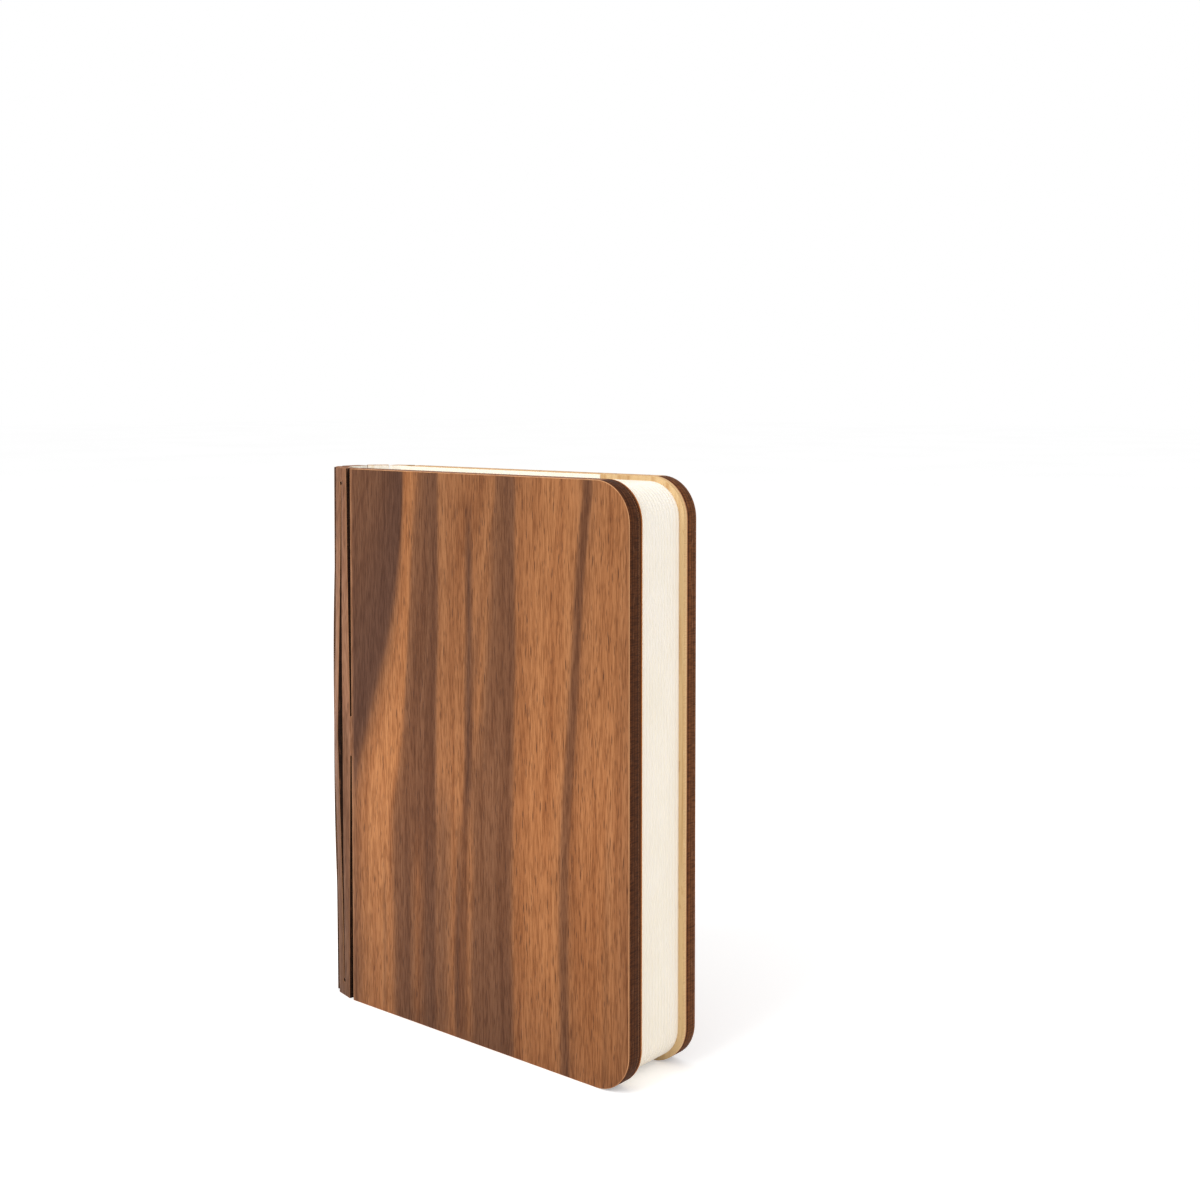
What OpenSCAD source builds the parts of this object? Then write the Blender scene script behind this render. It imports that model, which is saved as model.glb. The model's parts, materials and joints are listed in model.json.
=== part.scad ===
// Folding book lamp, shut and standing on its lower edge.
// X runs from the spine (-) to the fore-edge (+), Y from the front cover (-)
// to the back cover (+), and Z is up. The origin is the middle of the foot.

/* [Covers] */
// Height of the covers and of the spine
lamp_h = 122; // [90:1:240]
// Thickness of the shut lamp over both covers
lamp_t = 22; // [20:0.5:30]
// Width of the flat part of a cover
cover_w = 80.8; // [60:0.2:180]
// Thickness of the walnut plywood, covers and spine alike
ply_t = 3.2; // [2.4:0.1:3.6]
// Thickness of the pale board that lines each cover
board_t = 1.0; // [0.6:0.1:1.6]
// Radius of the two fore-edge corners
corner_r = 8.5; // [4:0.5:16]

/* [Living hinge] */
// Angle from the cover to the outermost slats, shut
outer_slat_a = 14; // [10:1:18]
// Angle from the cover to the second slats, shut
second_slat_a = 50; // [46:1:54]
// Width of a slat at its two ends
slat_end_w = 5.0; // [4.2:0.1:5.4]
// Height of the bridge that joins two slats half way up
bridge_h = 9; // [5:0.5:14]
// Slope of the vee that lets two bridges bend on each other
vee_a = 20; // [20:1:24]
// Space between the tip of a vee and the line it bends about
vee_gap = 0.15; // [0.1:0.05:0.3]
// Width of the slot left between a cover and the spine
cover_slot = 1.0; // [0.8:0.1:1.6]
// Width of a slat's middle slit, half way up
slit_w = 1.2; // [0.8:0.1:1.8]
// Width of the laser cut at the two ends of the slit
kerf = 0.25; // [0.15:0.05:0.4]
// Diameter of the stress relief hole at each end of the slit
relief_d = 0.9; // [0.6:0.1:1.4]
// Distance from the end of a slat to the relief hole
relief_z = 3.5; // [2.5:0.5:8]

/* [Pages] */
// Thickness of one leaf
leaf_t = 0.2; // [0.1:0.05:0.3]
// How far the outer folds sit behind the fore-edge of the covers
fore_inset = 1.2; // [0.5:0.1:3]
// How far the leaves sit inside the covers at the head and the foot
end_inset = 1.0; // [0.5:0.1:3]
// Clearance from the light core to the inner folds
core_gap = 1.9; // [1.6:0.1:3]
// Part of the half turn of an outer fold that stays open to bend
fold_open_a = 15; // [10:1:20]
// How far an outer fold ends short of the round corners of its leaf
fold_end = 0.5; // [0.3:0.1:2]

/* [Light core] */
// Depth of the core from the middle slat to the face of the lens
core_d = 5.0; // [5:0.1:5.3]
// Width of the core where it is glued to the middle slat
core_foot_w = 4.6; // [4:0.1:4.7]
// Full width of the core
core_w = 8.8; // [8.8:0.1:9.2]
// Depth of the tapered back of the channel
taper_d = 2.3; // [2.2:0.1:2.4]
// Thickness of the channel's wall
wall_t = 0.6; // [0.5:0.05:0.7]
// Thickness of the lens
lens_t = 0.9; // [0.8:0.05:1]
// Width of the slope along the two long edges of the lens
lens_slope = 1.6; // [1:0.1:2]
// How far the core ends inside the spine at the head and the foot
core_inset = 3; // [2:0.5:8]
// Clearance round what sits in the channel
fit_gap = 0.1; // [0.05:0.05:0.2]
// Thickness of the strip that carries the light chips
strip_t = 0.5; // [0.4:0.1:0.6]
// Length, width and thickness of one light chip
chip_size = [2.8, 3.5, 0.5]; // [0.3:0.1:4]
// Number of light chips
chip_count = 12; // [6:1:14]
// Width and thickness of the cell
cell_size = [3.8, 2.0]; // [1.6:0.1:4]
// Length of the cell
cell_l = 80; // [40:1:84]
// Length of the control board
control_l = 20; // [14:1:24]
// Thickness of the control board
control_t = 0.8; // [0.6:0.1:0.8]
// Width, thickness and depth of the charging socket
socket_size = [7.2, 2.2, 5]; // [1.8:0.1:7.4]
// Thickness of the socket's shell
socket_wall = 0.25; // [0.2:0.05:0.35]

/* [Magnets] */
// Diameter of a closing magnet
magnet_d = 8; // [5:0.5:12]
// Thickness of a closing magnet
magnet_t = 1.5; // [1:0.1:2]
// Distance from the fore-edge, the head and the foot to a magnet's middle
magnet_inset = 14; // [10:0.5:24]

/* [Hidden] */
walnut = "#8A5A3C";
pale_ply = "#D9B583";
paper = "#F6F0E2";
black_plastic = "#26262A";
frosted = "#E9EDF0";
bright_metal = "#C9CCD1";

// Leaves in each half of the page fan. The joints of the folds are set for this even number.
half_leaves = 14;
leaf_numbers = [1 : half_leaves];
slat_numbers = [1 : 5];

function two_digits(k) = str(k < 10 ? "0" : "", k);
function leaf_name(side, k) = str(side, "_leaf_", two_digits(k));
function slat_name(i) = str("spine_slat_", i);

// The shut spine in plan: five slats of equal width, from the front cover round to the back.
cover_mid_y = (lamp_t - ply_t) / 2;
slat_pitch = 2 * cover_mid_y / (2 * sin(outer_slat_a) + 2 * sin(second_slat_a) + 1);
slat_a = [180 - outer_slat_a, 180 - second_slat_a, 90, second_slat_a, outer_slat_a];
spine_d = slat_pitch * (cos(outer_slat_a) + cos(second_slat_a));
lamp_w = ply_t / 2 + spine_d + cover_slot / 2 + cover_w;
spine_x = -lamp_w / 2 + ply_t / 2;
hinge_x = spine_x + spine_d;

// Bend lines 0 to 5: line 0 is at the front cover and line 5 at the back cover.
function bend_line(i) = i == 0 ? [hinge_x, -cover_mid_y]
    : bend_line(i - 1) + slat_pitch * [cos(slat_a[i - 1]), sin(slat_a[i - 1])];

vee_d = ply_t / 2 * tan(vee_a);
relief_h = lamp_h - 2 * relief_z;

cover_x = hinge_x + cover_slot / 2;
fore_x = cover_x + cover_w;

// The page fan: leaf 1 is glued to a board, and the last leaf of each half meets in the middle.
board_y = lamp_t / 2 - ply_t - board_t;
leaf_step = (2 * board_y - leaf_t) / (2 * half_leaves - 1);
fold_r = leaf_step / 2;
leaf_h = lamp_h - 2 * end_inset;
leaf_corner_r = corner_r - end_inset;
outer_fold_x = fore_x - fore_inset - fold_r - leaf_t / 2;
core_x = spine_x + ply_t / 2;
inner_fold_x = core_x + core_d + core_gap;
function leaf_y(k) = board_y - leaf_t / 2 - (k - 1) * leaf_step;

core_l = lamp_h - 2 * core_inset;
channel_d = core_d - lens_t;
chip_gap = 0.2;
chip_back = channel_d - chip_gap - chip_size[2];
strip_back = chip_back - strip_t;
strip_w = core_w - 2 * wall_t - 2 * fit_gap;
strip_z = core_inset + wall_t + control_l + 1;
strip_l = lamp_h - core_inset - wall_t - fit_gap - strip_z;
control_w = core_foot_w - 2 * fit_gap;
control_back = wall_t + fit_gap + 0.2;
socket_back = control_back + control_t;

$fn = 96;

// Stands a drawing in X and Z upright, with its thickness from y to y + t.
module upright(y, t) {
    translate([0, y + t, 0])
        rotate([90, 0, 0])
            linear_extrude(t)
                children();
}

// A page outline: square at the spine, with two round corners at the fore-edge.
module page_outline(x, w, z, h, r) {
    translate([x, z])
        square([w - r, h]);
    translate([x + w - r - 0.01, z + r])
        square([r + 0.01, h - 2 * r]);
    for (corner_z = [z + r, z + h - r])
        translate([x + w - r, corner_z])
            circle(r);
}

module cover_outline() {
    page_outline(cover_x, cover_w, 0, lamp_h, corner_r);
}

// The places of the two magnets in a cover, as X and Z.
module at_magnets() {
    for (z = [magnet_inset, lamp_h - magnet_inset])
        translate([fore_x - magnet_inset, z])
            children();
}

// Half of a bridge: a short vee whose tip stops at the bend line, pointing to -X.
module cover_bridge() {
    translate([hinge_x, 0, (lamp_h - bridge_h) / 2])
        linear_extrude(bridge_h)
            polygon([[vee_gap, cover_mid_y],
                     [vee_gap + vee_d, cover_mid_y - ply_t / 2],
                     [vee_gap + vee_d, cover_mid_y + ply_t / 2]]);
}

module cover_shell() {
    color(walnut)
        difference() {
            union() {
                upright(cover_mid_y - ply_t / 2, ply_t)
                    cover_outline();
                cover_bridge();
            }
            upright(cover_mid_y - ply_t / 2 - 0.1, magnet_t + 0.1)
                at_magnets()
                    circle(d = magnet_d + 2 * fit_gap);
        }
}

module cover_board() {
    color(pale_ply)
        upright(board_y, board_t)
            cover_outline();
}

module cover_magnets() {
    color(bright_metal)
        upright(cover_mid_y - ply_t / 2, magnet_t)
            at_magnets()
                circle(d = magnet_d);
}

// The front face of a slat: narrow at both ends, and full where it bridges to its neighbours.
module slat_face() {
    full = slat_pitch / 2;
    narrow = slat_end_w / 2;
    low = (lamp_h - bridge_h) / 2;
    high = (lamp_h + bridge_h) / 2;
    difference() {
        polygon([[-narrow, 0], [narrow, 0], [full, low], [full, high],
                 [narrow, lamp_h], [-narrow, lamp_h], [-full, high], [-full, low]]);
        polygon([[-kerf / 2, relief_z], [kerf / 2, relief_z], [slit_w / 2, lamp_h / 2],
                 [kerf / 2, lamp_h - relief_z], [-kerf / 2, lamp_h - relief_z],
                 [-slit_w / 2, lamp_h / 2]]);
    }
}

// A slat in plan, with a vee along both edges.
module slat_section() {
    tip = slat_pitch / 2 - vee_gap;
    flat = tip - vee_d;
    polygon([[-tip, 0], [-flat, -ply_t / 2], [flat, -ply_t / 2],
             [tip, 0], [flat, ply_t / 2], [-flat, ply_t / 2]]);
}

// One slat of the living hinge: two ligaments that part round a slit and meet at its ends.
module spine_slat(i) {
    middle = (bend_line(i - 1) + bend_line(i)) / 2;
    color(walnut)
        translate([middle[0], middle[1], 0])
            rotate([0, 0, slat_a[i - 1]])
                difference() {
                    intersection() {
                        upright(-ply_t / 2, ply_t)
                            slat_face();
                        linear_extrude(lamp_h)
                            slat_section();
                    }
                    for (z = [relief_z, relief_z + relief_h])
                        translate([0, ply_t, z])
                            rotate([90, 0, 0])
                                cylinder(h = 2 * ply_t, d = relief_d);
                }
}

// One leaf. The odd ones also carry the round outer fold that leads to the next leaf.
module leaf(k) {
    has_fold = k % 2 == 1;
    color(paper) {
        upright(leaf_y(k) - leaf_t / 2, leaf_t)
            leaf_outline();
        if (has_fold)
            translate([outer_fold_x, leaf_y(k) - fold_r, end_inset + leaf_corner_r + fold_end])
                outer_fold();
    }
}

module leaf_outline() {
    page_outline(inner_fold_x, outer_fold_x - inner_fold_x, end_inset, leaf_h, leaf_corner_r);
}

// A thin half pipe that bends from a leaf round to its neighbour, over the straight fore-edge.
module outer_fold() {
    rotate([0, 0, fold_open_a - 90])
        rotate_extrude(angle = 180 - fold_open_a)
            translate([fold_r - leaf_t / 2, 0])
                square([leaf_t, leaf_h - 2 * (leaf_corner_r + fold_end)]);
}

// The core in plan, from the face of the middle slat forward, drawn in by inset.
module channel_section(inset) {
    foot = core_foot_w / 2;
    side = core_w / 2 - inset;
    polygon([[inset, -foot + inset / 2], [taper_d + inset / 2, -side], [channel_d + 2 * inset, -side],
             [channel_d + 2 * inset, side], [taper_d + inset / 2, side], [inset, foot - inset / 2]]);
}

module in_core() {
    translate([core_x, 0, 0])
        children();
}

module core_channel() {
    color(black_plastic)
        in_core()
            difference() {
                translate([0, 0, core_inset])
                    linear_extrude(core_l)
                        channel_section(0);
                translate([0, 0, core_inset + wall_t])
                    linear_extrude(core_l - 2 * wall_t)
                        channel_section(wall_t);
                translate([0, 0, core_inset - 1])
                    linear_extrude(wall_t + 2)
                        translate([socket_back, 0])
                            socket_section(-fit_gap);
            }
}

module core_lens() {
    side = core_w / 2;
    face = side - lens_slope;
    color(frosted)
        in_core()
            translate([channel_d, 0, core_inset])
                linear_extrude(core_l)
                    polygon([[0, -side], [lens_t, -face], [lens_t, face], [0, side]]);
}

module light_strip() {
    color("white")
        in_core()
            translate([strip_back, -strip_w / 2, strip_z])
                cube([strip_t, strip_w, strip_l]);
}

// Equal chips, evenly spaced along the strip and seated on its face.
module light_chips() {
    chip_pitch = strip_l / chip_count;
    color("#F3D36B")
        in_core()
            for (i = [0 : chip_count - 1])
                translate([chip_back, -chip_size[1] / 2,
                           strip_z + (i + 0.5) * chip_pitch - chip_size[0] / 2])
                    cube([chip_size[2], chip_size[1], chip_size[0]]);
}

module cell() {
    cell_z = strip_z + fit_gap;
    color("silver")
        in_core()
            translate([wall_t + fit_gap, -cell_size[0] / 2, cell_z])
                cube([cell_size[1], cell_size[0], cell_l]);
}

module control_board() {
    color("darkgreen")
        in_core()
            translate([control_back, -control_w / 2, core_inset + wall_t])
                cube([control_t, control_w, control_l]);
}

// The mouth of the charging socket in plan: narrow against its board, and wide in front.
module socket_section(inset) {
    wide = socket_size[0] / 2 - inset;
    narrow = wide - 1;
    front = socket_size[1] - inset;
    polygon([[inset, -narrow], [front / 2, -wide], [front, -wide],
             [front, wide], [front / 2, wide], [inset, narrow]]);
}

module charging_socket() {
    color(bright_metal)
        in_core()
            translate([socket_back, 0, core_inset]) {
                difference() {
                    linear_extrude(socket_size[2])
                        socket_section(0);
                    translate([0, 0, -1])
                        linear_extrude(socket_size[2])
                            socket_section(socket_wall);
                }
                translate([socket_size[1] / 2, -socket_size[0] / 4, 1])
                    cube([socket_wall, socket_size[0] / 2, socket_size[2] - 1.5]);
            }
}

module front_cover() { mirror([0, 1, 0]) cover_shell(); }
module back_cover() { cover_shell(); }
module front_board() { mirror([0, 1, 0]) cover_board(); }
module back_board() { cover_board(); }
module front_magnets() { mirror([0, 1, 0]) cover_magnets(); }
module back_magnets() { cover_magnets(); }

front_cover();
back_cover();
front_board();
back_board();
front_magnets();
back_magnets();
for (i = slat_numbers)
    spine_slat(i);
core_channel();
core_lens();
light_strip();
light_chips();
cell();
control_board();
charging_socket();
for (k = leaf_numbers)
    leaf(k);
for (k = leaf_numbers)
    mirror([0, 1, 0]) leaf(k);
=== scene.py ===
"""Looks of a folding book lamp, shut and standing on its lower edge.

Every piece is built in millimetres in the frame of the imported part, then scaled to metres: X runs
from the spine to the fore-edge, Y from the front cover to the back cover, and Z is up.
"""

import json
import logging
import math
from collections.abc import Callable, Iterable, Sequence
from dataclasses import dataclass, field
from enum import Enum, IntEnum
from functools import cache

import bmesh
import bpy
from mathutils import Matrix, Vector, noise

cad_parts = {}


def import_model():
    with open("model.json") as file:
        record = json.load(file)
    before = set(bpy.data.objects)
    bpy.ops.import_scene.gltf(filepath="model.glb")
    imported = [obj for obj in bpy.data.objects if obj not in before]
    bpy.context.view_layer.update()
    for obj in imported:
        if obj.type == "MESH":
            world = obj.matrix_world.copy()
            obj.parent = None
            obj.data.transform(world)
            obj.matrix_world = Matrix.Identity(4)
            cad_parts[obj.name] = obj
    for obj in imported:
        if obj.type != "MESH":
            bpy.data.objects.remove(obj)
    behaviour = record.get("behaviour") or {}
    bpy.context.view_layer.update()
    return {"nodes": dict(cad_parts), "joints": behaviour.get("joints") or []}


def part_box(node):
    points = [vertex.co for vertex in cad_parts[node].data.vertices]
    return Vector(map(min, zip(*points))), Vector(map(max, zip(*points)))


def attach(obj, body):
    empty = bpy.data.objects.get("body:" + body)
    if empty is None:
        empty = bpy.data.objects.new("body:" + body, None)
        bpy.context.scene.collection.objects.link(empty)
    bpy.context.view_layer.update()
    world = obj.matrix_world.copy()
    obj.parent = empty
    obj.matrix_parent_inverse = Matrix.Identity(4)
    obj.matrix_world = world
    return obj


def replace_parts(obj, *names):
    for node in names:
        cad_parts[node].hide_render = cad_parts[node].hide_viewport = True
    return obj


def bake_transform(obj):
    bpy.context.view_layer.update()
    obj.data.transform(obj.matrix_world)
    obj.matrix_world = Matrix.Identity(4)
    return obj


log = logging.getLogger("book_lamp")

# One millimetre, in metres.
MM = 0.001
# Height of the covers and of the spine, in mm.
LAMP_HEIGHT = 122.0
# Two places closer than this are one, in mm.
SAME = 1e-4
# Margin for picking out what lies on one side of a line, in mm.
NEAR = 1e-3
# A face looks along an axis when its normal reaches this far along it. The head's limit is stricter,
# so that the head ends where the round corners begin to slope.
FLAT, LEVEL = 0.95, 0.99
# The normal of a broken edge reaches at least this far towards the sheet's face.
SLOPING = 0.3
# The normal of a face at the foot drops below this.
DOWNWARD = -0.5
# Edges that turn by more than the first angle get broken. Those that turn by less than the second
# are shaded smooth.
SHARP, SMOOTH = math.radians(35), math.radians(32)
# The mesh attribute that holds the place of each point on its flat sheet.
VENEER = "veneer"
# Numbers of the axes.
X, Z = 0, 2
# Stands a level shape on its edge, so that its upper side faces the front cover.
ON_EDGE = Matrix.Rotation(math.pi / 2, 3, "X")
# Settings of a Mix node: one colour tints another, or lies over it.
TINT = {"data_type": "RGBA", "blend_type": "MULTIPLY"}
OVER = {"data_type": "RGBA", "blend_type": "MIX"}
WHITE = (1.0, 1.0, 1.0, 1.0)

Node = bpy.types.Node
Socket = bpy.types.NodeSocket
Tree = bpy.types.NodeTree
Object = bpy.types.Object
Edge = bmesh.types.BMEdge
Face = bmesh.types.BMFace
Vert = bmesh.types.BMVert
Triple = tuple[float, float, float]
Stops = Sequence[tuple[float, str]]
Knots = Sequence[tuple[float, float]]


class Side(Enum):
    """The two halves of the lamp. The value is the sign of the half's Y."""

    FRONT = -1
    BACK = 1

    @property
    def word(self) -> str:
        """The half's name as the nodes and bodies write it."""
        return self.name.lower()


class Half(Enum):
    """The two ends of a slat, above and below the middle of its height."""

    LOWER = 0
    UPPER = 1


class Zone(IntEnum):
    """The zones of a sheet that have a finish of their own. The value is the finish's number."""

    FACE = 0
    CUT_EDGE = 1
    ARRIS = 2
    HEAD = 3
    INNER_FACE = 4


def linear(colour: str) -> tuple[float, float, float, float]:
    """Turns a colour into the linear values that a shader socket takes.

    Args:
        colour: An sRGB colour, written as "#RRGGBB".

    Returns:
        Red, green, blue and an alpha of 1.
    """
    parts = [int(colour[i : i + 2], 16) / 255 for i in (1, 3, 5)]
    red, green, blue = (p / 12.92 if p <= 0.04045 else ((p + 0.055) / 1.055) ** 2.4 for p in parts)
    return red, green, blue, 1.0


def smooth_step(t: float) -> float:
    """The easing that a bending piece follows from one body to the next."""
    t = min(max(t, 0.0), 1.0)
    return t * t * (3 - 2 * t)


def along(t: float, first: float, last: float) -> float:
    """The value at share t of the way from first to last."""
    return first + (last - first) * t


def heading(angle: float) -> Vector:
    """The level unit vector at an angle in degrees from +X."""
    return Vector((math.cos(math.radians(angle)), math.sin(math.radians(angle)), 0.0))


# ---------------------------------------------------------------------------------------------
# Finishes
# ---------------------------------------------------------------------------------------------


def add(
    tree: Tree, kind: str, *values: object, named: dict[str, object] | None = None,
    stops: Stops = (), knots: Knots = (), **settings: object,
) -> Node:
    """Adds a node with its settings, and fills or links its inputs.

    Args:
        tree: The node tree that gets the node.
        kind: The node's type, without the "ShaderNode" that it starts with.
        values: What goes into the inputs in use, in their order: a value, an output, a node whose
            first output is meant, or None for an input that stays as it is.
        named: The same for inputs by name.
        stops: Places from 0 to 1 and the sRGB colour at each, on a colour ramp.
        knots: Places from 0 to 1 and the height at each, on a curve.
        settings: The node's own settings.

    Returns:
        The new node.
    """
    node = tree.nodes.new(f"ShaderNode{kind}")
    for name, setting in settings.items():
        setattr(node, name, setting)
    filled = list(zip([socket for socket in node.inputs if socket.enabled], values))
    filled += [(node.inputs[name], value) for name, value in (named or {}).items()]
    for socket, value in filled:
        if isinstance(value, Node):
            value = next(output for output in value.outputs if output.enabled)
        if isinstance(value, Socket):
            tree.links.new(value, socket)
        elif value is not None:
            socket.default_value = value
    # A new ramp or curve has two points already.
    for number, (place, colour) in enumerate(stops):
        elements = node.color_ramp.elements
        element = elements[number] if number < 2 else elements.new(place)
        element.position, element.color = place, linear(colour)
    for number, (place, height) in enumerate(knots):
        points = node.mapping.curves[0].points
        point = points[number] if number < 2 else points.new(place, height)
        point.location, point.handle_type = (place, height), "AUTO_CLAMPED"
    if knots:
        node.mapping.update()
    return node


def stretched_noise(tree: Tree, place: Socket | Node, per_mm: Triple, detail: float = 2.0) -> Node:
    """Lays out noise whose grain is set in cycles for each millimetre.

    Args:
        tree: The node tree.
        place: Places in millimetres.
        per_mm: Cycles for each millimetre along X, Y and Z.
        detail: How many finer layers are added.

    Returns:
        The noise, from 0 to 1, mostly near 0.5.
    """
    scaled = add(tree, "VectorMath", place, per_mm, operation="MULTIPLY")
    return add(tree, "TexNoise", scaled, 1.0, detail)


def object_place(tree: Tree) -> Node:
    """The place in the lamp's frame, in millimetres."""
    return add(tree, "VectorMath", add(tree, "TexCoord").outputs["Object"], 1 / MM, operation="SCALE")


def seen(tree: Tree) -> Node:
    """Works out whether the camera sees a place, straight or by way of gloss or glass.

    Args:
        tree: The node tree.

    Returns:
        A value of 1 where it does, and otherwise 0.
    """
    rays = add(tree, "LightPath").outputs
    opaque = add(tree, "Math", rays["Is Camera Ray"], rays["Is Glossy Ray"], operation="MAXIMUM")
    return add(tree, "Math", opaque, rays["Is Transmission Ray"], operation="MAXIMUM")


@dataclass(frozen=True)
class Finish:
    """A material with the record's slot that it belongs to.

    Attributes:
        label: The real material and how its surface was made.
        slot: The record's material slot, or nothing for the studio. It is not used.
    """

    label: str
    slot: str

    def material(self) -> bpy.types.Material:
        """The finish as a material, made once and then shared."""
        return bpy.data.materials.get(self.label) or self.new_material()

    def new_material(self) -> bpy.types.Material:
        """Makes the material.

        Returns:
            The new material, which shows this finish's surface.
        """
        material = bpy.data.materials.new(self.label)
        material.use_nodes = True
        tree = material.node_tree
        tree.nodes.clear()
        add(tree, "OutputMaterial", self.surface(tree))
        return material

    def surface(self, tree: Tree) -> Node:
        """The shader that the surface shows."""
        return add(tree, "BsdfPrincipled", named=self.look(tree))

    def look(self, tree: Tree) -> dict[str, object]:
        """Works out the surface's colour, gloss and relief.

        Args:
            tree: The material's node tree.

        Returns:
            Inputs of the Principled shader by name.
        """
        raise NotImplementedError


@dataclass(frozen=True)
class Streak:
    """A thin streak of growth that stands apart from the broad bands.

    Attributes:
        foot: Distance from the sheet's edge at the foot, in mm.
        head: The same at the head.
        width: Half its width, in mm.
        low: Height where it begins, in mm.
        high: Height where it ends, in mm.
        light: How light the wood is there, from 0 to 1.
        strength: How much of it shows.
        fade: Length of the stretch in which it comes up or dies away, in mm.
    """

    foot: float
    head: float
    width: float
    low: float
    high: float
    light: float
    strength: float
    fade: float = 14.0

    def shown(self, tree: Tree, across: Node, up: Socket) -> Node:
        """Works out how much of the streak shows at a place.

        Args:
            tree: The material's node tree.
            across: Distance from the sheet's edge, in mm.
            up: Height, in mm.

        Returns:
            The share that shows: most along the streak's line, none beyond its ends.
        """
        line = add(tree, "MapRange", up, 0.0, LAMP_HEIGHT, self.foot, self.head)
        off = add(tree, "Math", add(tree, "Math", across, line, operation="SUBTRACT"), operation="ABSOLUTE")
        share = add(tree, "MapRange", off, 0.0, self.width, self.strength, 0.0)
        begun = add(tree, "MapRange", up, self.low, self.low + self.fade)
        unended = add(tree, "MapRange", up, self.high - self.fade, self.high, 1.0, 0.0)
        inside = add(tree, "Math", begun, unended, operation="MULTIPLY")
        return add(tree, "Math", share, inside, operation="MULTIPLY")


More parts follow.
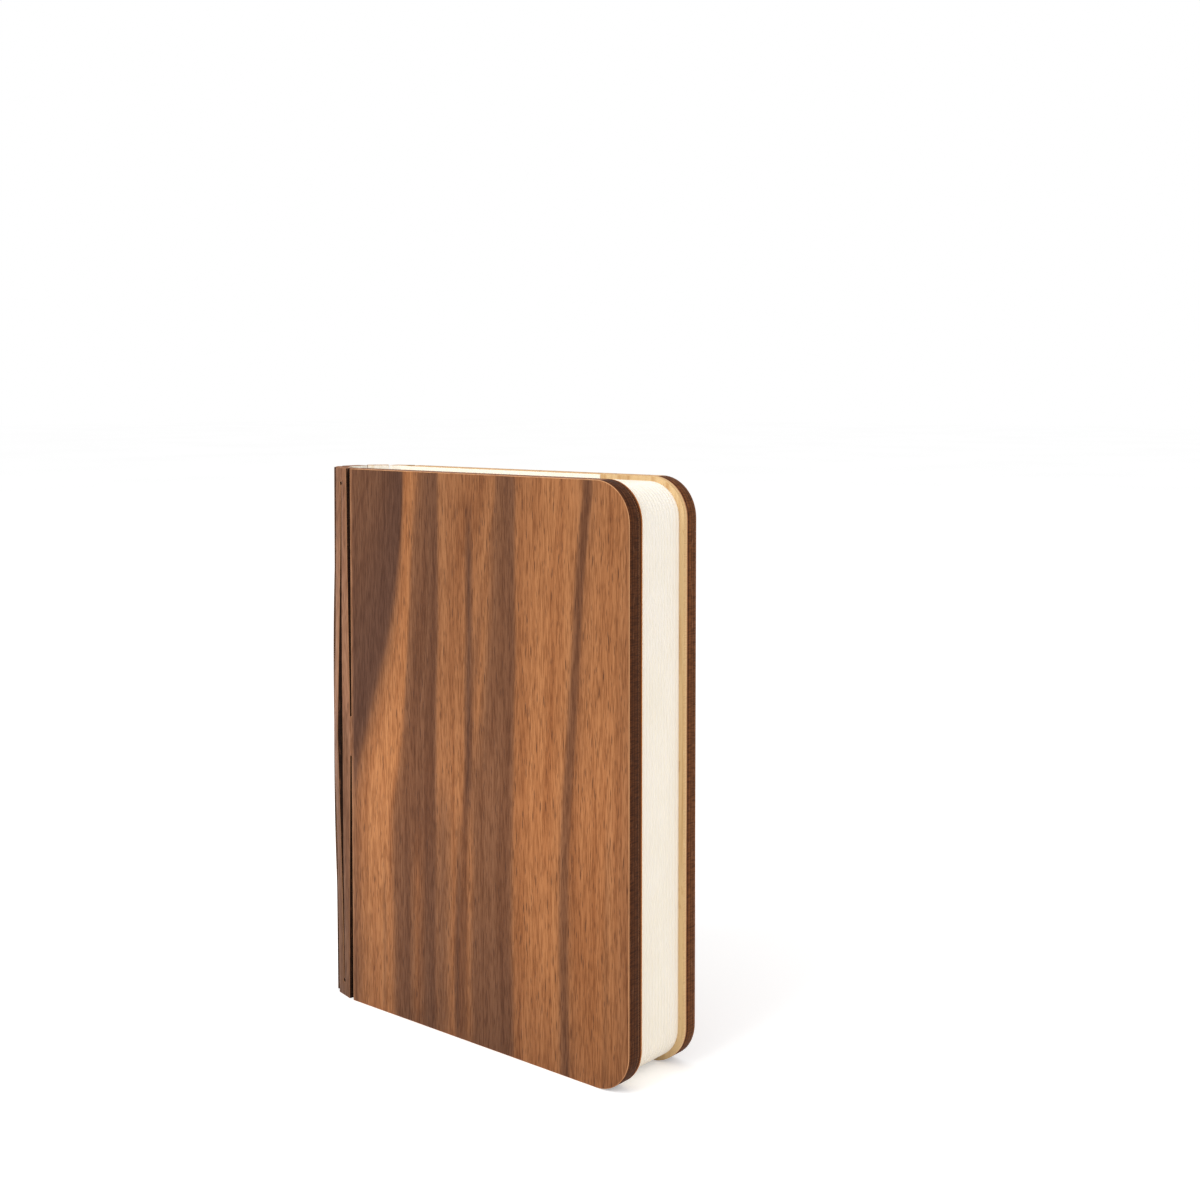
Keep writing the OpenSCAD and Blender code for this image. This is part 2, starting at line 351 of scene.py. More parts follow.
@dataclass(frozen=True)
class OiledWalnut(Finish):
    """Walnut veneer, sanded and oiled: soft bands of growth, fine fibre and short dark pores.

    Attributes:
        bands: Distance from the sheet's edge at the foot, in mm, and how light the wood is there.
        lean: Where a growth line that stands at the first distance at the head stands at the foot.
        streaks: Thin streaks over the bands.
        tones: Colours of the darkest, the middling and the lightest wood.
        height_tones: Shares of the height, and the tint at each.
        reach: The lowest and the highest distance at the foot, in mm.
        leaning: Heights between which the growth lines lean, in mm.
        lateness: How late between those heights the lean comes up. It is even at 1.
        wander: How far a growth line wanders from its place, in mm.
    """

    bands: Knots
    lean: Knots = ((0.0, 0.0), (82.0, 82.0))
    streaks: tuple[Streak, ...] = ()
    tones: tuple[str, str, str] = ("#664432", "#946442", "#C38452")
    height_tones: Stops = (
        (0.0, "#DEDEDE"), (0.2, "#F0F0F0"), (0.45, "#FFFFFF"), (0.64, "#F0F0F0"), (1.0, "#E4E4E4"),
    )
    reach: tuple[float, float] = (-30.0, 82.0)
    leaning: tuple[float, float] = (45.0, 119.0)
    lateness: float = 1.25
    wander: float = 2.6

    def look(self, tree: Tree) -> dict[str, object]:
        """Lays the bands and streaks, then fibre and pores over them.

        Args:
            tree: The material's node tree.

        Returns:
            Inputs of the Principled shader by name.
        """
        place = add(tree, "Attribute", attribute_name=VENEER).outputs["Vector"]
        from_slot, _, up = add(tree, "SeparateXYZ", place).outputs
        wander = stretched_noise(tree, place, (0.04, 0.0, 0.018), 3.0)
        wander = add(tree, "Math", wander, 0.5, operation="SUBTRACT")
        across = add(tree, "Math", wander, self.wander, from_slot, operation="MULTIPLY_ADD")
        growth = self.growth(tree, across, up)
        light = self.bent(tree, growth, self.reach, self.bands)
        for streak in self.streaks:
            light = add(tree, "Mix", streak.shown(tree, across, up), light, streak.light)
        colour = add(tree, "ValToRGB", light, stops=list(zip((0.0, 0.5, 1.0), self.tones)))
        # The colour is a little lighter half way up the sheet than at its ends.
        share = add(tree, "MapRange", up, 0.0, LAMP_HEIGHT)
        shade = add(tree, "ValToRGB", share, stops=self.height_tones)
        colour = add(tree, "Mix", 1.0, colour, shade, **TINT)
        # The laser dried a rim of the veneer along its slot, which shows lighter.
        distance = add(tree, "Math", from_slot, operation="ABSOLUTE")
        rim = add(tree, "MapRange", distance, 0.4, 0.9, 0.45, 0.0)
        colour = add(tree, "Mix", rim, colour, linear("#B98560"), **OVER)
        # Secondary streaks keep a band from being a single tone: broad ones, and thin ones between.
        grown = add(tree, "CombineXYZ", growth, None, up)
        broad, thin = (grown, (0.3, 1.0, 0.012), "#E0D5CC"), (place, (1.0, 1.0, 0.018), "#E6DED7")
        for where, per_mm, dark in (broad, thin):
            streaky = stretched_noise(tree, where, per_mm, 3.0)
            shade = add(tree, "ValToRGB", streaky, stops=((0.32, dark), (0.5, "#F8F5F3"), (0.68, "#FFFFFF")))
            colour = add(tree, "Mix", 1.0, colour, shade, **TINT)
        # Fibre: fine broken lines that run with the trunk, drawn about 0.2 mm wide so that they show.
        fibre = stretched_noise(tree, place, (4.6, 1.0, 0.3), 4.0)
        shade = add(tree, "ValToRGB", fibre, stops=((0.36, "#C8BDB4"), (0.58, "#FFFFFF")))
        colour = add(tree, "Mix", 0.9, colour, shade, **TINT)
        # Pores: short open vessels, drawn about 0.2 by 2 mm so that they show, which hold a darker oil.
        pores = self.pores(tree, place)
        oiled = add(tree, "Math", pores, 0.85, operation="MULTIPLY")
        colour = add(tree, "Mix", oiled, colour, linear("#4A2C1C"), **OVER)
        raised = add(tree, "Math", fibre, 0.4, operation="MULTIPLY")
        height = add(tree, "Math", raised, pores, operation="SUBTRACT")
        return {
            "Base Color": colour,
            # Oil leaves a satin surface that is duller where the fibre stands open.
            "Roughness": add(tree, "MapRange", fibre, 0.3, 0.7, 0.66, 0.52),
            "Specular IOR Level": 0.12,
            "Normal": add(tree, "Bump", named={"Height": height, "Distance": 0.05 * MM, "Strength": 0.6}),
        }

    def growth(self, tree: Tree, across: Node, up: Socket) -> Node:
        """Works out the distance across the sheet, measured along its leaning growth lines.

        Args:
            tree: The material's node tree.
            across: Distance from the sheet's edge, in mm.
            up: Height, in mm.

        Returns:
            How far from the sheet's edge the growth line stands at the foot, in mm.
        """
        low, high = self.reach
        feet = [(head, (foot - low) / (high - low)) for head, foot in self.lean]
        at_foot = self.bent(tree, across, (0.0, high), feet)
        at_foot = add(tree, "MapRange", at_foot, 0.0, 1.0, low, high)
        rise = add(tree, "MapRange", up, *self.leaning)
        rise = add(tree, "Math", rise, self.lateness, operation="POWER")
        return add(tree, "Mix", rise, across, at_foot)

    @staticmethod
    def bent(tree: Tree, distance: Node, reach: tuple[float, float], points: Knots) -> Node:
        """Turns a distance into a level, on a smooth curve through a few points.

        Args:
            tree: The material's node tree.
            distance: The distance, in mm.
            reach: The lowest and the highest distance.
            points: Distances, and the level from 0 to 1 at each.

        Returns:
            The level.
        """
        low, high = reach
        knots = [((place - low) / (high - low), level) for place, level in points]
        return add(tree, "FloatCurve", None, add(tree, "MapRange", distance, low, high), knots=knots)

    @staticmethod
    def pores(tree: Tree, place: Socket) -> Node:
        """Works out where the pores are: long thin cells, each with its own strength.

        Args:
            tree: The material's node tree.
            place: The place on the flat sheet, in mm.

        Returns:
            The depth of the pores, from 0 to 1.
        """
        depths = []
        for shift, per_mm in ((0.0, (1.7, 0.0, 0.16)), (3.7, (2.6, 0.0, 0.26))):
            scaled = add(tree, "VectorMath", place, per_mm, (0.0, shift, 0.0), operation="MULTIPLY_ADD")
            cells = add(tree, "TexVoronoi", scaled, 1.0).outputs
            strength = add(tree, "MapRange", cells["Color"], 0.3, 0.75)
            pore = add(tree, "MapRange", cells["Distance"], 0.12, 0.23, 1.0, 0.0)
            depths.append(add(tree, "Math", pore, strength, operation="MULTIPLY"))
        return add(tree, "Math", *depths, operation="MAXIMUM")


@dataclass(frozen=True)
class LaserCutEdge(Finish):
    """The edge of a wooden sheet as the laser leaves it: toasted plies with fine burn lines.

    Attributes:
        plies: Distance from the middle of the sheet, in mm, and the colour there.
        half: Half the sheet's thickness, in mm.
        burn: How strongly the burn lines show.
        torn: Colour where a fibre was torn clean.
        scorch: Distance between the small scorch marks along the edge, in mm, or 0 for none.
    """

    plies: Stops
    half: float = 1.6
    burn: float = 0.8
    torn: str = "#8A5C40"
    scorch: float = 0.0

    def look(self, tree: Tree) -> dict[str, object]:
        """Lays the plies, then burn lines across them.

        Args:
            tree: The material's node tree.

        Returns:
            Inputs of the Principled shader by name.
        """
        place = add(tree, "Attribute", attribute_name=VENEER).outputs["Vector"]
        across, through, _ = add(tree, "SeparateXYZ", place).outputs
        # The glue lines between the plies wander by about a tenth of a millimetre.
        wander = add(tree, "Math", stretched_noise(tree, place, (0.25, 0.0, 0.25)), 0.5, operation="SUBTRACT")
        depth = add(tree, "Math", wander, 0.12, through, operation="MULTIPLY_ADD")
        depth = add(tree, "MapRange", depth, -self.half, self.half)
        stops = [((mm + self.half) / (2 * self.half), colour) for mm, colour in self.plies]
        colour = add(tree, "ValToRGB", depth, stops=stops)
        burn = stretched_noise(tree, place, (4.0, 0.5, 4.0), 3.0)
        shade = add(tree, "ValToRGB", burn, stops=((0.3, "#8C8078"), (0.62, "#FFFFFF")))
        colour = add(tree, "Mix", self.burn, colour, shade, **TINT)
        # Here and there a fibre was torn clean and shows lighter.
        torn = stretched_noise(tree, place, (0.4, 3.0, 0.4), 4.0)
        clean = add(tree, "MapRange", torn, 0.62, 0.7, 0.0, 0.35)
        colour = add(tree, "Mix", clean, colour, linear(self.torn), **OVER)
        if self.scorch:
            # Each mark is a small smudge that fades from the outer face inwards, and some are missing.
            off = add(tree, "Math", across, self.scorch / 2, operation="PINGPONG")
            mark = add(tree, "MapRange", off, 0.2, 0.6, 0.9, 0.0)
            for value, least, most in ((depth, 0.3, 0.7), (torn, 0.38, 0.48)):
                share = add(tree, "MapRange", value, least, most)
                mark = add(tree, "Math", mark, share, operation="MULTIPLY")
            colour = add(tree, "Mix", mark, colour, linear("#6B3E24"), **OVER)
        relief = add(tree, "Bump", named={"Height": burn, "Distance": 0.04 * MM, "Strength": 0.7})
        return {"Base Color": colour, "Roughness": 0.75, "Specular IOR Level": 0.1, "Normal": relief}


@dataclass(frozen=True)
class PaleBoard(Finish):
    """A thin birch board, sanded: a quiet figure, with small pins of darker wood.

    Attributes:
        light: Colour of the early wood.
        dark: Colour of the late wood and of the pins.
    """

    light: str
    dark: str

    def look(self, tree: Tree) -> dict[str, object]:
        """Lays the figure of birch, then the pins over it.

        Args:
            tree: The material's node tree.

        Returns:
            Inputs of the Principled shader by name.
        """
        place = object_place(tree)
        figure = stretched_noise(tree, place, (0.7, 0.7, 0.03), 3.0)
        stops = ((0.3, self.dark), (0.55, self.light), (0.8, self.light))
        colour = add(tree, "ValToRGB", figure, stops=stops)
        specks = stretched_noise(tree, place, (0.9, 2.0, 0.35), 1.0)
        pins = add(tree, "MapRange", specks, 0.66, 0.72, 0.0, 0.5)
        colour = add(tree, "Mix", pins, colour, linear(self.dark), **OVER)
        relief = add(tree, "Bump", named={"Height": figure, "Distance": 0.03 * MM, "Strength": 0.5})
        return {"Base Color": colour, "Roughness": 0.6, "Specular IOR Level": 0.2, "Normal": relief}


@dataclass(frozen=True)
class FoldedPaper(Finish):
    """Coated synthetic paper, tear-proof and a little see-through, with a warm white tone."""

    def look(self, tree: Tree) -> dict[str, object]:
        """Lays a faint cloud of fibre, and paints the paper a little whiter towards the head as painted
        light.

        Args:
            tree: The material's node tree.

        Returns:
            Inputs of the Principled shader by name.
        """
        place = object_place(tree)
        up = add(tree, "MapRange", add(tree, "SeparateXYZ", place).outputs["Z"], 0.0, LAMP_HEIGHT)
        # Painted light: the paper turns a little whiter towards the head.
        tone = add(tree, "ValToRGB", up, stops=((0.0, "#FFF4E2"), (0.6, "#FFF4E2"), (1.0, "#FEF5E6")))
        cloud = stretched_noise(tree, place, (0.12, 0.12, 0.09), 5.0)
        shade = add(tree, "ValToRGB", cloud, stops=((0.3, "#FCFBF8"), (0.7, "#FFFFFF")))
        fibre = stretched_noise(tree, place, (3.0, 3.0, 3.0), 4.0)
        return {
            "Base Color": add(tree, "Mix", 1.0, tone, shade, **TINT),
            "Roughness": 0.68,
            "Specular IOR Level": 0.25,
            # Thin paper passes a little light, so the gaps between the leaves stay pale.
            "Subsurface Weight": 0.25,
            "Subsurface Radius": (0.9 * MM, 0.8 * MM, 0.6 * MM),
            "Subsurface Scale": 1.0,
            "Normal": add(tree, "Bump", named={"Height": fibre, "Distance": 0.01 * MM, "Strength": 0.4}),
        }


@dataclass(frozen=True)
class MouldedPlastic(Finish):
    """Moulded ABS with the fine matt grain of an eroded tool.

    Attributes:
        colour: The plastic's own colour.
        roughness: Gloss of the grain.
    """

    colour: str
    roughness: float = 0.55

    def look(self, tree: Tree) -> dict[str, object]:
        """Sets the colour, broken a little by flow marks, and the tool's grain.

        Args:
            tree: The material's node tree.

        Returns:
            Inputs of the Principled shader by name.
        """
        place = object_place(tree)
        flow = stretched_noise(tree, place, (0.15, 0.15, 0.03))
        shade = add(tree, "ValToRGB", flow, stops=((0.3, "#DADADA"), (0.7, "#FFFFFF")))
        grain = stretched_noise(tree, place, (9.0, 9.0, 9.0))
        dull = add(tree, "MapRange", grain, 0.3, 0.7, self.roughness - 0.06, self.roughness + 0.06)
        return {
            "Base Color": add(tree, "Mix", 1.0, linear(self.colour), shade, **TINT),
            "Roughness": dull,
            "Normal": add(tree, "Bump", named={"Height": grain, "Distance": 0.01 * MM, "Strength": 0.5}),
        }


@dataclass(frozen=True)
class FrostedLens(Finish):
    """Extruded opal polycarbonate, etched on its face so that it spreads the light."""

    def look(self, tree: Tree) -> dict[str, object]:
        """Sets a milky body with faint lines from the die.

        Args:
            tree: The material's node tree.

        Returns:
            Inputs of the Principled shader by name.
        """
        die = stretched_noise(tree, object_place(tree), (4.0, 4.0, 0.01))
        return {
            "Base Color": add(tree, "ValToRGB", die, stops=((0.3, "#E4E8EA"), (0.7, "#F3F6F7"))),
            "Transmission Weight": 0.35,
            "IOR": 1.585,
            "Roughness": add(tree, "MapRange", die, 0.3, 0.7, 0.38, 0.48),
            "Normal": add(tree, "Bump", named={"Height": die, "Distance": 0.01 * MM, "Strength": 0.3}),
        }


@dataclass(frozen=True)
class SolderMask(Finish):
    """A circuit board under solder mask, with the copper tracks raised below it.

    Attributes:
        mask: Colour over bare board.
        track: Colour over copper.
        pitch: Distance between the tracks, in mm.
    """

    mask: str
    track: str
    pitch: float

    def look(self, tree: Tree) -> dict[str, object]:
        """Draws the tracks as raised lines along the board.

        Args:
            tree: The material's node tree.

        Returns:
            Inputs of the Principled shader by name.
        """
        y = add(tree, "SeparateXYZ", object_place(tree)).outputs["Y"]
        # Whole pitches are added, because the zigzag needs a distance above 0.
        distance = add(tree, "Math", y, 20 * self.pitch, operation="ADD")
        zigzag = add(tree, "Math", distance, self.pitch / 2, operation="PINGPONG")
        # The side of a track slopes between a fifth and a quarter of the pitch.
        copper = add(tree, "MapRange", zigzag, self.pitch * 0.2, self.pitch * 0.25)
        return {
            "Base Color": add(tree, "Mix", copper, linear(self.mask), linear(self.track), **OVER),
            "Roughness": 0.35,
            "Normal": add(tree, "Bump", named={"Height": copper, "Distance": 0.03 * MM, "Strength": 0.6}),
        }


@dataclass(frozen=True)
class LightChip(Finish):
    """A surface-mounted white light chip: yellow phosphor gel in a white reflector cup.

    Attributes:
        window: Half the width of the gel's window, in mm.
    """

    window: float = 1.2

    def look(self, tree: Tree) -> dict[str, object]:
        """Puts the phosphor window in the middle of the chip.

        Args:
            tree: The material's node tree.

        Returns:
            Inputs of the Principled shader by name.
        """
        place = object_place(tree)
        off = add(tree, "Math", add(tree, "SeparateXYZ", place).outputs["Y"], operation="ABSOLUTE")
        window = add(tree, "MapRange", off, self.window, self.window + 0.1, 1.0, 0.0)
        speckle = stretched_noise(tree, place, (12.0, 12.0, 12.0))
        gel = add(tree, "ValToRGB", speckle, stops=((0.3, "#E9C44E"), (0.7, "#F6DC7A")))
        return {
            "Base Color": add(tree, "Mix", window, linear("#F2F2EE"), gel, **OVER),
            "Roughness": add(tree, "MapRange", window, 0.0, 1.0, 0.45, 0.15),
        }


@dataclass(frozen=True)
class BrushedMetal(Finish):
    """A metal surface with the fine lines of its making and a few dull smudges.

    Attributes:
        colour: The metal's colour.
        roughness: Its mean gloss.
        lines: Cycles of the lines for each mm along X, Y and Z.
        depth: Depth of the lines, in mm.
    """

    colour: str
    roughness: float
    lines: Triple
    depth: float = 0.01

    def look(self, tree: Tree) -> dict[str, object]:
        """Sets the metal, its lines and the smudges.

        Args:
            tree: The material's node tree.

        Returns:
            Inputs of the Principled shader by name.
        """
        place = object_place(tree)
        lines = stretched_noise(tree, place, self.lines, 3.0)
        shade = add(tree, "ValToRGB", lines, stops=((0.3, "#D8D8D8"), (0.7, "#FFFFFF")))
        smudge = stretched_noise(tree, place, (0.3, 0.3, 0.3))
        dull = add(tree, "MapRange", smudge, 0.35, 0.65, self.roughness - 0.06, self.roughness + 0.08)
        relief = add(tree, "Bump", named={"Height": lines, "Distance": self.depth * MM, "Strength": 0.4})
        return {
            "Base Color": add(tree, "Mix", 1.0, linear(self.colour), shade, **TINT),
            "Metallic": 1.0,
            "Roughness": dull,
            "Normal": relief,
        }


@dataclass(frozen=True)
class StudioPaper(Finish):
    """Matt white paper rolled out as the floor: white to the camera, apart from the shadow.

    Attributes:
        lift: Light that is added to what the camera sees of it.
    """

    lift: float = 0.3

    def surface(self, tree: Tree) -> Node:
        """Lifts the paper to white where the camera sees it, so that it lights nothing else.

        Args:
            tree: The material's node tree.

        Returns:
            The shader that the surface shows.
        """
        cloud = stretched_noise(tree, object_place(tree), (0.004, 0.004, 0.004))
        tone = add(tree, "ValToRGB", cloud, stops=((0.3, "#F5F5F5"), (0.7, "#F8F8F8")))
        matt = add(tree, "BsdfDiffuse", tone)
        lifted = add(tree, "AddShader", matt, add(tree, "Emission", WHITE, self.lift))
        return add(tree, "MixShader", seen(tree), matt, lifted)


# Bands that lean away from the spine towards the foot, as on a sheet cut beside the heart.
FRONT_WALNUT = OiledWalnut(
    label="Walnut veneer, sanded and oiled, front cover",
    slot="walnut_ply",
    bands=(
        (-27.0, 0.28), (-16.0, 0.15), (-10.0, 0.05), (-3.0, 0.0), (-0.5, 0.12), (0.5, 0.42), (2.5, 0.68),
        (6.0, 0.9), (10.5, 0.95), (13.0, 0.74), (15.2, 0.36), (19.0, 0.25), (26.2, 0.2), (27.4, 0.64),
        (28.8, 0.7), (34.2, 0.72), (35.4, 0.4), (38.0, 0.32), (44.0, 0.26), (48.6, 0.24), (50.4, 0.78),
        (58.0, 0.9), (62.4, 0.78), (64.0, 0.3), (65.4, 0.7), (72.0, 0.86), (76.5, 0.76), (81.0, 0.6),
    ),
    lean=(
        (0.0, -28.0), (10.3, -17.0), (15.2, -8.0), (17.5, 0.0), (18.5, 7.0), (20.3, 12.0), (23.0, 14.5),
        (28.3, 27.4), (45.0, 35.0), (50.8, 50.0), (55.0, 51.5), (70.0, 64.0), (82.0, 78.0),
    ),
    streaks=(
        Streak(32.7, 44.3, 2.8, 58.0, 114.0, 0.8, 0.85),
        Streak(36.2, 37.2, 1.5, 40.0, 118.0, 0.0, 0.85),
        Streak(21.2, 21.6, 3.0, -10.0, 46.0, 0.76, 0.85),
        Streak(28.6, 30.0, 3.6, -10.0, 58.0, 0.2, 0.75),
        Streak(33.8, 34.6, 1.5, -10.0, 50.0, 0.0, 0.7),
        Streak(37.2, 37.8, 1.9, -10.0, 56.0, 0.74, 0.85),
        Streak(10.4, 12.0, 1.0, -10.0, 40.0, 0.5, 0.6),
        Streak(74.6, 77.0, 1.2, -10.0, 60.0, 0.42, 0.4),
    ),
)
# A plainer sheet of the same wood, with wider bands.
BACK_WALNUT = OiledWalnut(
    label="Walnut veneer, sanded and oiled, back cover",
    slot="walnut_ply",
    bands=(
        (-12.0, 0.1), (6.0, 0.66), (18.0, 0.78), (22.0, 0.2), (33.0, 0.05), (38.0, 0.62), (54.0, 0.84),
        (58.0, 0.25), (66.0, 0.74), (81.0, 0.48),
    ),
    lean=((0.0, -4.0), (22.0, 14.0), (40.0, 37.0), (60.0, 50.0), (82.0, 76.0)),
    streaks=(
        Streak(26.0, 30.0, 1.6, 20.0, 90.0, 0.45, 0.6),
        Streak(46.0, 50.0, 1.4, 10.0, 120.0, 0.35, 0.6),
        Streak(72.0, 70.0, 1.8, -10.0, 80.0, 0.0, 0.5),
    ),
)
# Greyer wood between the slots, darkest low down at the front.
SPINE_WALNUT = OiledWalnut(
    label="Walnut veneer, sanded and oiled, spine",
    slot="walnut_ply",
    bands=((-29.0, 0.3), (-24.0, 0.8), (-14.0, 0.4), (-6.0, 0.9), (0.0, 0.7), (1.0, 0.7)),
    streaks=(Streak(-4.0, -4.0, 12.0, -20.0, 74.0, 0.0, 0.9),),
    tones=("#7C583E", "#A0745A", "#B88A68"),
)
# Dark toasted plies with black glue lines between them.
FRONT_CUT_EDGE = LaserCutEdge(
    label="Walnut plywood edge, laser cut, front cover",
    slot="walnut_ply",
    plies=(
        (-1.6, "#4C2812"), (-1.12, "#562F16"), (-1.05, "#2A140A"), (-0.9, "#4C2914"), (-0.3, "#593217"),
        (-0.2, "#2B150A"), (-0.05, "#502B14"), (0.55, "#563018"), (0.65, "#2A140A"), (0.8, "#4C2914"),
        (1.2, "#5C3319"), (1.6, "#6C3C1E"),
    ),
)
# The same plies, toasted less.
BACK_CUT_EDGE = LaserCutEdge(
    label="Walnut plywood edge, laser cut, back cover",
    slot="walnut_ply",
    plies=(
        (-1.6, "#7C441E"), (-1.3, "#5C3218"), (-1.05, "#402210"), (-0.9, "#6C3F21"), (-0.3, "#774726"),
        (-0.2, "#402310"), (-0.05, "#683F22"), (0.55, "#704325"), (0.65, "#3B1F0F"), (0.8, "#673F23"),
        (1.3, "#7C4D2E"), (1.6, "#946447"),
    ),
    torn="#A67354",
)
# Sanding took most of the scorch off the head, so the bare plies show.
FRONT_HEAD_EDGE = LaserCutEdge(
    label="Walnut plywood head, laser cut and sanded, front cover",
    slot="walnut_ply",
    plies=((-1.6, "#9A6A4C"), (-0.6, "#8A5C41"), (0.2, "#9A6A4C"), (1.6, "#B07F60")),
    burn=0.4,
)
# Paler still, with a row of small scorch marks.
BACK_HEAD_EDGE = LaserCutEdge(
    label="Walnut plywood head, laser cut and sanded, back cover",
    slot="walnut_ply",
    plies=((-1.6, "#DDB889"), (-0.4, "#CFA275"), (0.6, "#D8AE80"), (1.6, "#C79A70")),
    burn=0.3,
    torn="#E6C79A",
    scorch=4.3,
)
# The walls of the narrow slots are charred, and are darkened further as painted shade in the slots, so they
# look almost black.
CHARRED_SHADED_EDGE = LaserCutEdge(
    label="Walnut plywood edge, laser cut and charred, spine",
    slot="walnut_ply",
    plies=(
        (-1.6, "#3A2216"), (-0.9, "#1F120C"), (-0.2, "#2A1910"), (0.5, "#1D110B"), (1.1, "#2C1A11"),
        (1.6, "#412719"),
    ),
)
# A thin light line, where sanding went through the veneer.
ARRIS = PaleBoard("Walnut plywood arris, sanded bare", "walnut_ply", "#C08A5E", "#9A6640")
# Painted light: a near-white colour stands in for the lamp's glow on the inner side, so it looks bright
# behind the slots.
INNER_PLY_PAINTED_GLOW = PaleBoard("Birch inner ply, sanded and primed white", "walnut_ply", "#F6EFE2", "#E6D7BE")
# Bare birch: a pale straw tone with hardly any figure.
BOARD_FACE = PaleBoard("Birch board, sanded", "pale_ply", "#D2B384", "#B48A58")
# Orange where the cut came out at the pages, and black at the plywood.
FRONT_BOARD_EDGE = LaserCutEdge(
    label="Birch board edge, laser cut, front",
    slot="pale_ply",
    plies=((-0.5, "#D4985A"), (-0.26, "#BC6E2E"), (-0.08, "#6A3816"), (0.1, "#4E2A12"), (0.5, "#42220E")),
    half=0.5,
    burn=0.5,
)
# Pale tan, painted a little darker towards the pages as shade and lighter towards the plywood as light, with
# a brown line at the plywood.
BACK_BOARD_EDGE = LaserCutEdge(
    label="Birch board edge, laser cut, back",
    slot="pale_ply",
    plies=((-0.5, "#D6B484"), (-0.3, "#CDA674"), (0.0, "#D8B482"), (0.36, "#DEB88A"), (0.5, "#B8743C")),
    half=0.5,
    burn=0.25,
    torn="#EBD6AC",
)
# The coating leaves a matt warm white, so the folds show as soft grey lines.
PAPER = FoldedPaper("Synthetic paper, coated and creased", "page_paper")
# The grain of the tool keeps sharp highlights off the black.
CHANNEL_BLACK = MouldedPlastic("Black ABS, moulded with a matt grain", "black_plastic", "#26262A")
# The etched face is milky, so what lies behind it is only a blur.
LENS = FrostedLens("Opal polycarbonate, extruded and etched", "frosted_lens")
# The mask is a smooth lacquer, a little raised and lighter where copper runs below it.
WHITE_BOARD = SolderMask(
    "White circuit board, solder mask over copper", "white_board", "#ECECE6", "#F6F6F2", pitch=1.6,
)
GREEN_BOARD = SolderMask(
    "Green circuit board, solder mask over copper", "green_board", "#0E4A2A", "#1E6E40", pitch=0.5,
)
# A glossy yellow window with matt white round it.
CHIP = LightChip("Light chip, phosphor gel in a white cup", "light_chip")
# The rolls leave lines across the foil, which shines in soft streaks.
CELL_FOIL = BrushedMetal(
    "Aluminium pouch foil, rolled", "cell_foil", "#BFC1C6",
    roughness=0.42, lines=(0.5, 0.5, 3.0), depth=0.02,
)
# The stamp drew the steel upwards, which leaves faint lines under the bright plating.
STEEL = BrushedMetal(
    "Steel shell, stamped and nickel plated", "bright_steel", "#CFCFD2",
    roughness=0.26, lines=(3.0, 3.0, 0.2),
)
# Plating in a barrel leaves an even, bright surface.
NICKEL = BrushedMetal(
    "Disc magnet, barrel nickel plated", "bright_steel", "#D4D2CC",
    roughness=0.2, lines=(1.0, 1.0, 1.0),
)
# An even white that shows nothing but the lamp's faint shadow.
FLOOR_PAPER = StudioPaper("Studio paper, matt white", "")

# Finishes in the order of the zones.
PLYWOOD_FINISHES = {
    Side.FRONT: (FRONT_WALNUT, FRONT_CUT_EDGE, ARRIS, FRONT_HEAD_EDGE),
    Side.BACK: (BACK_WALNUT, BACK_CUT_EDGE, ARRIS, BACK_HEAD_EDGE),
}
BOARD_FINISHES = {Side.FRONT: (BOARD_FACE, FRONT_BOARD_EDGE), Side.BACK: (BOARD_FACE, BACK_BOARD_EDGE)}


# ---------------------------------------------------------------------------------------------
# Drafting of pieces
# ---------------------------------------------------------------------------------------------


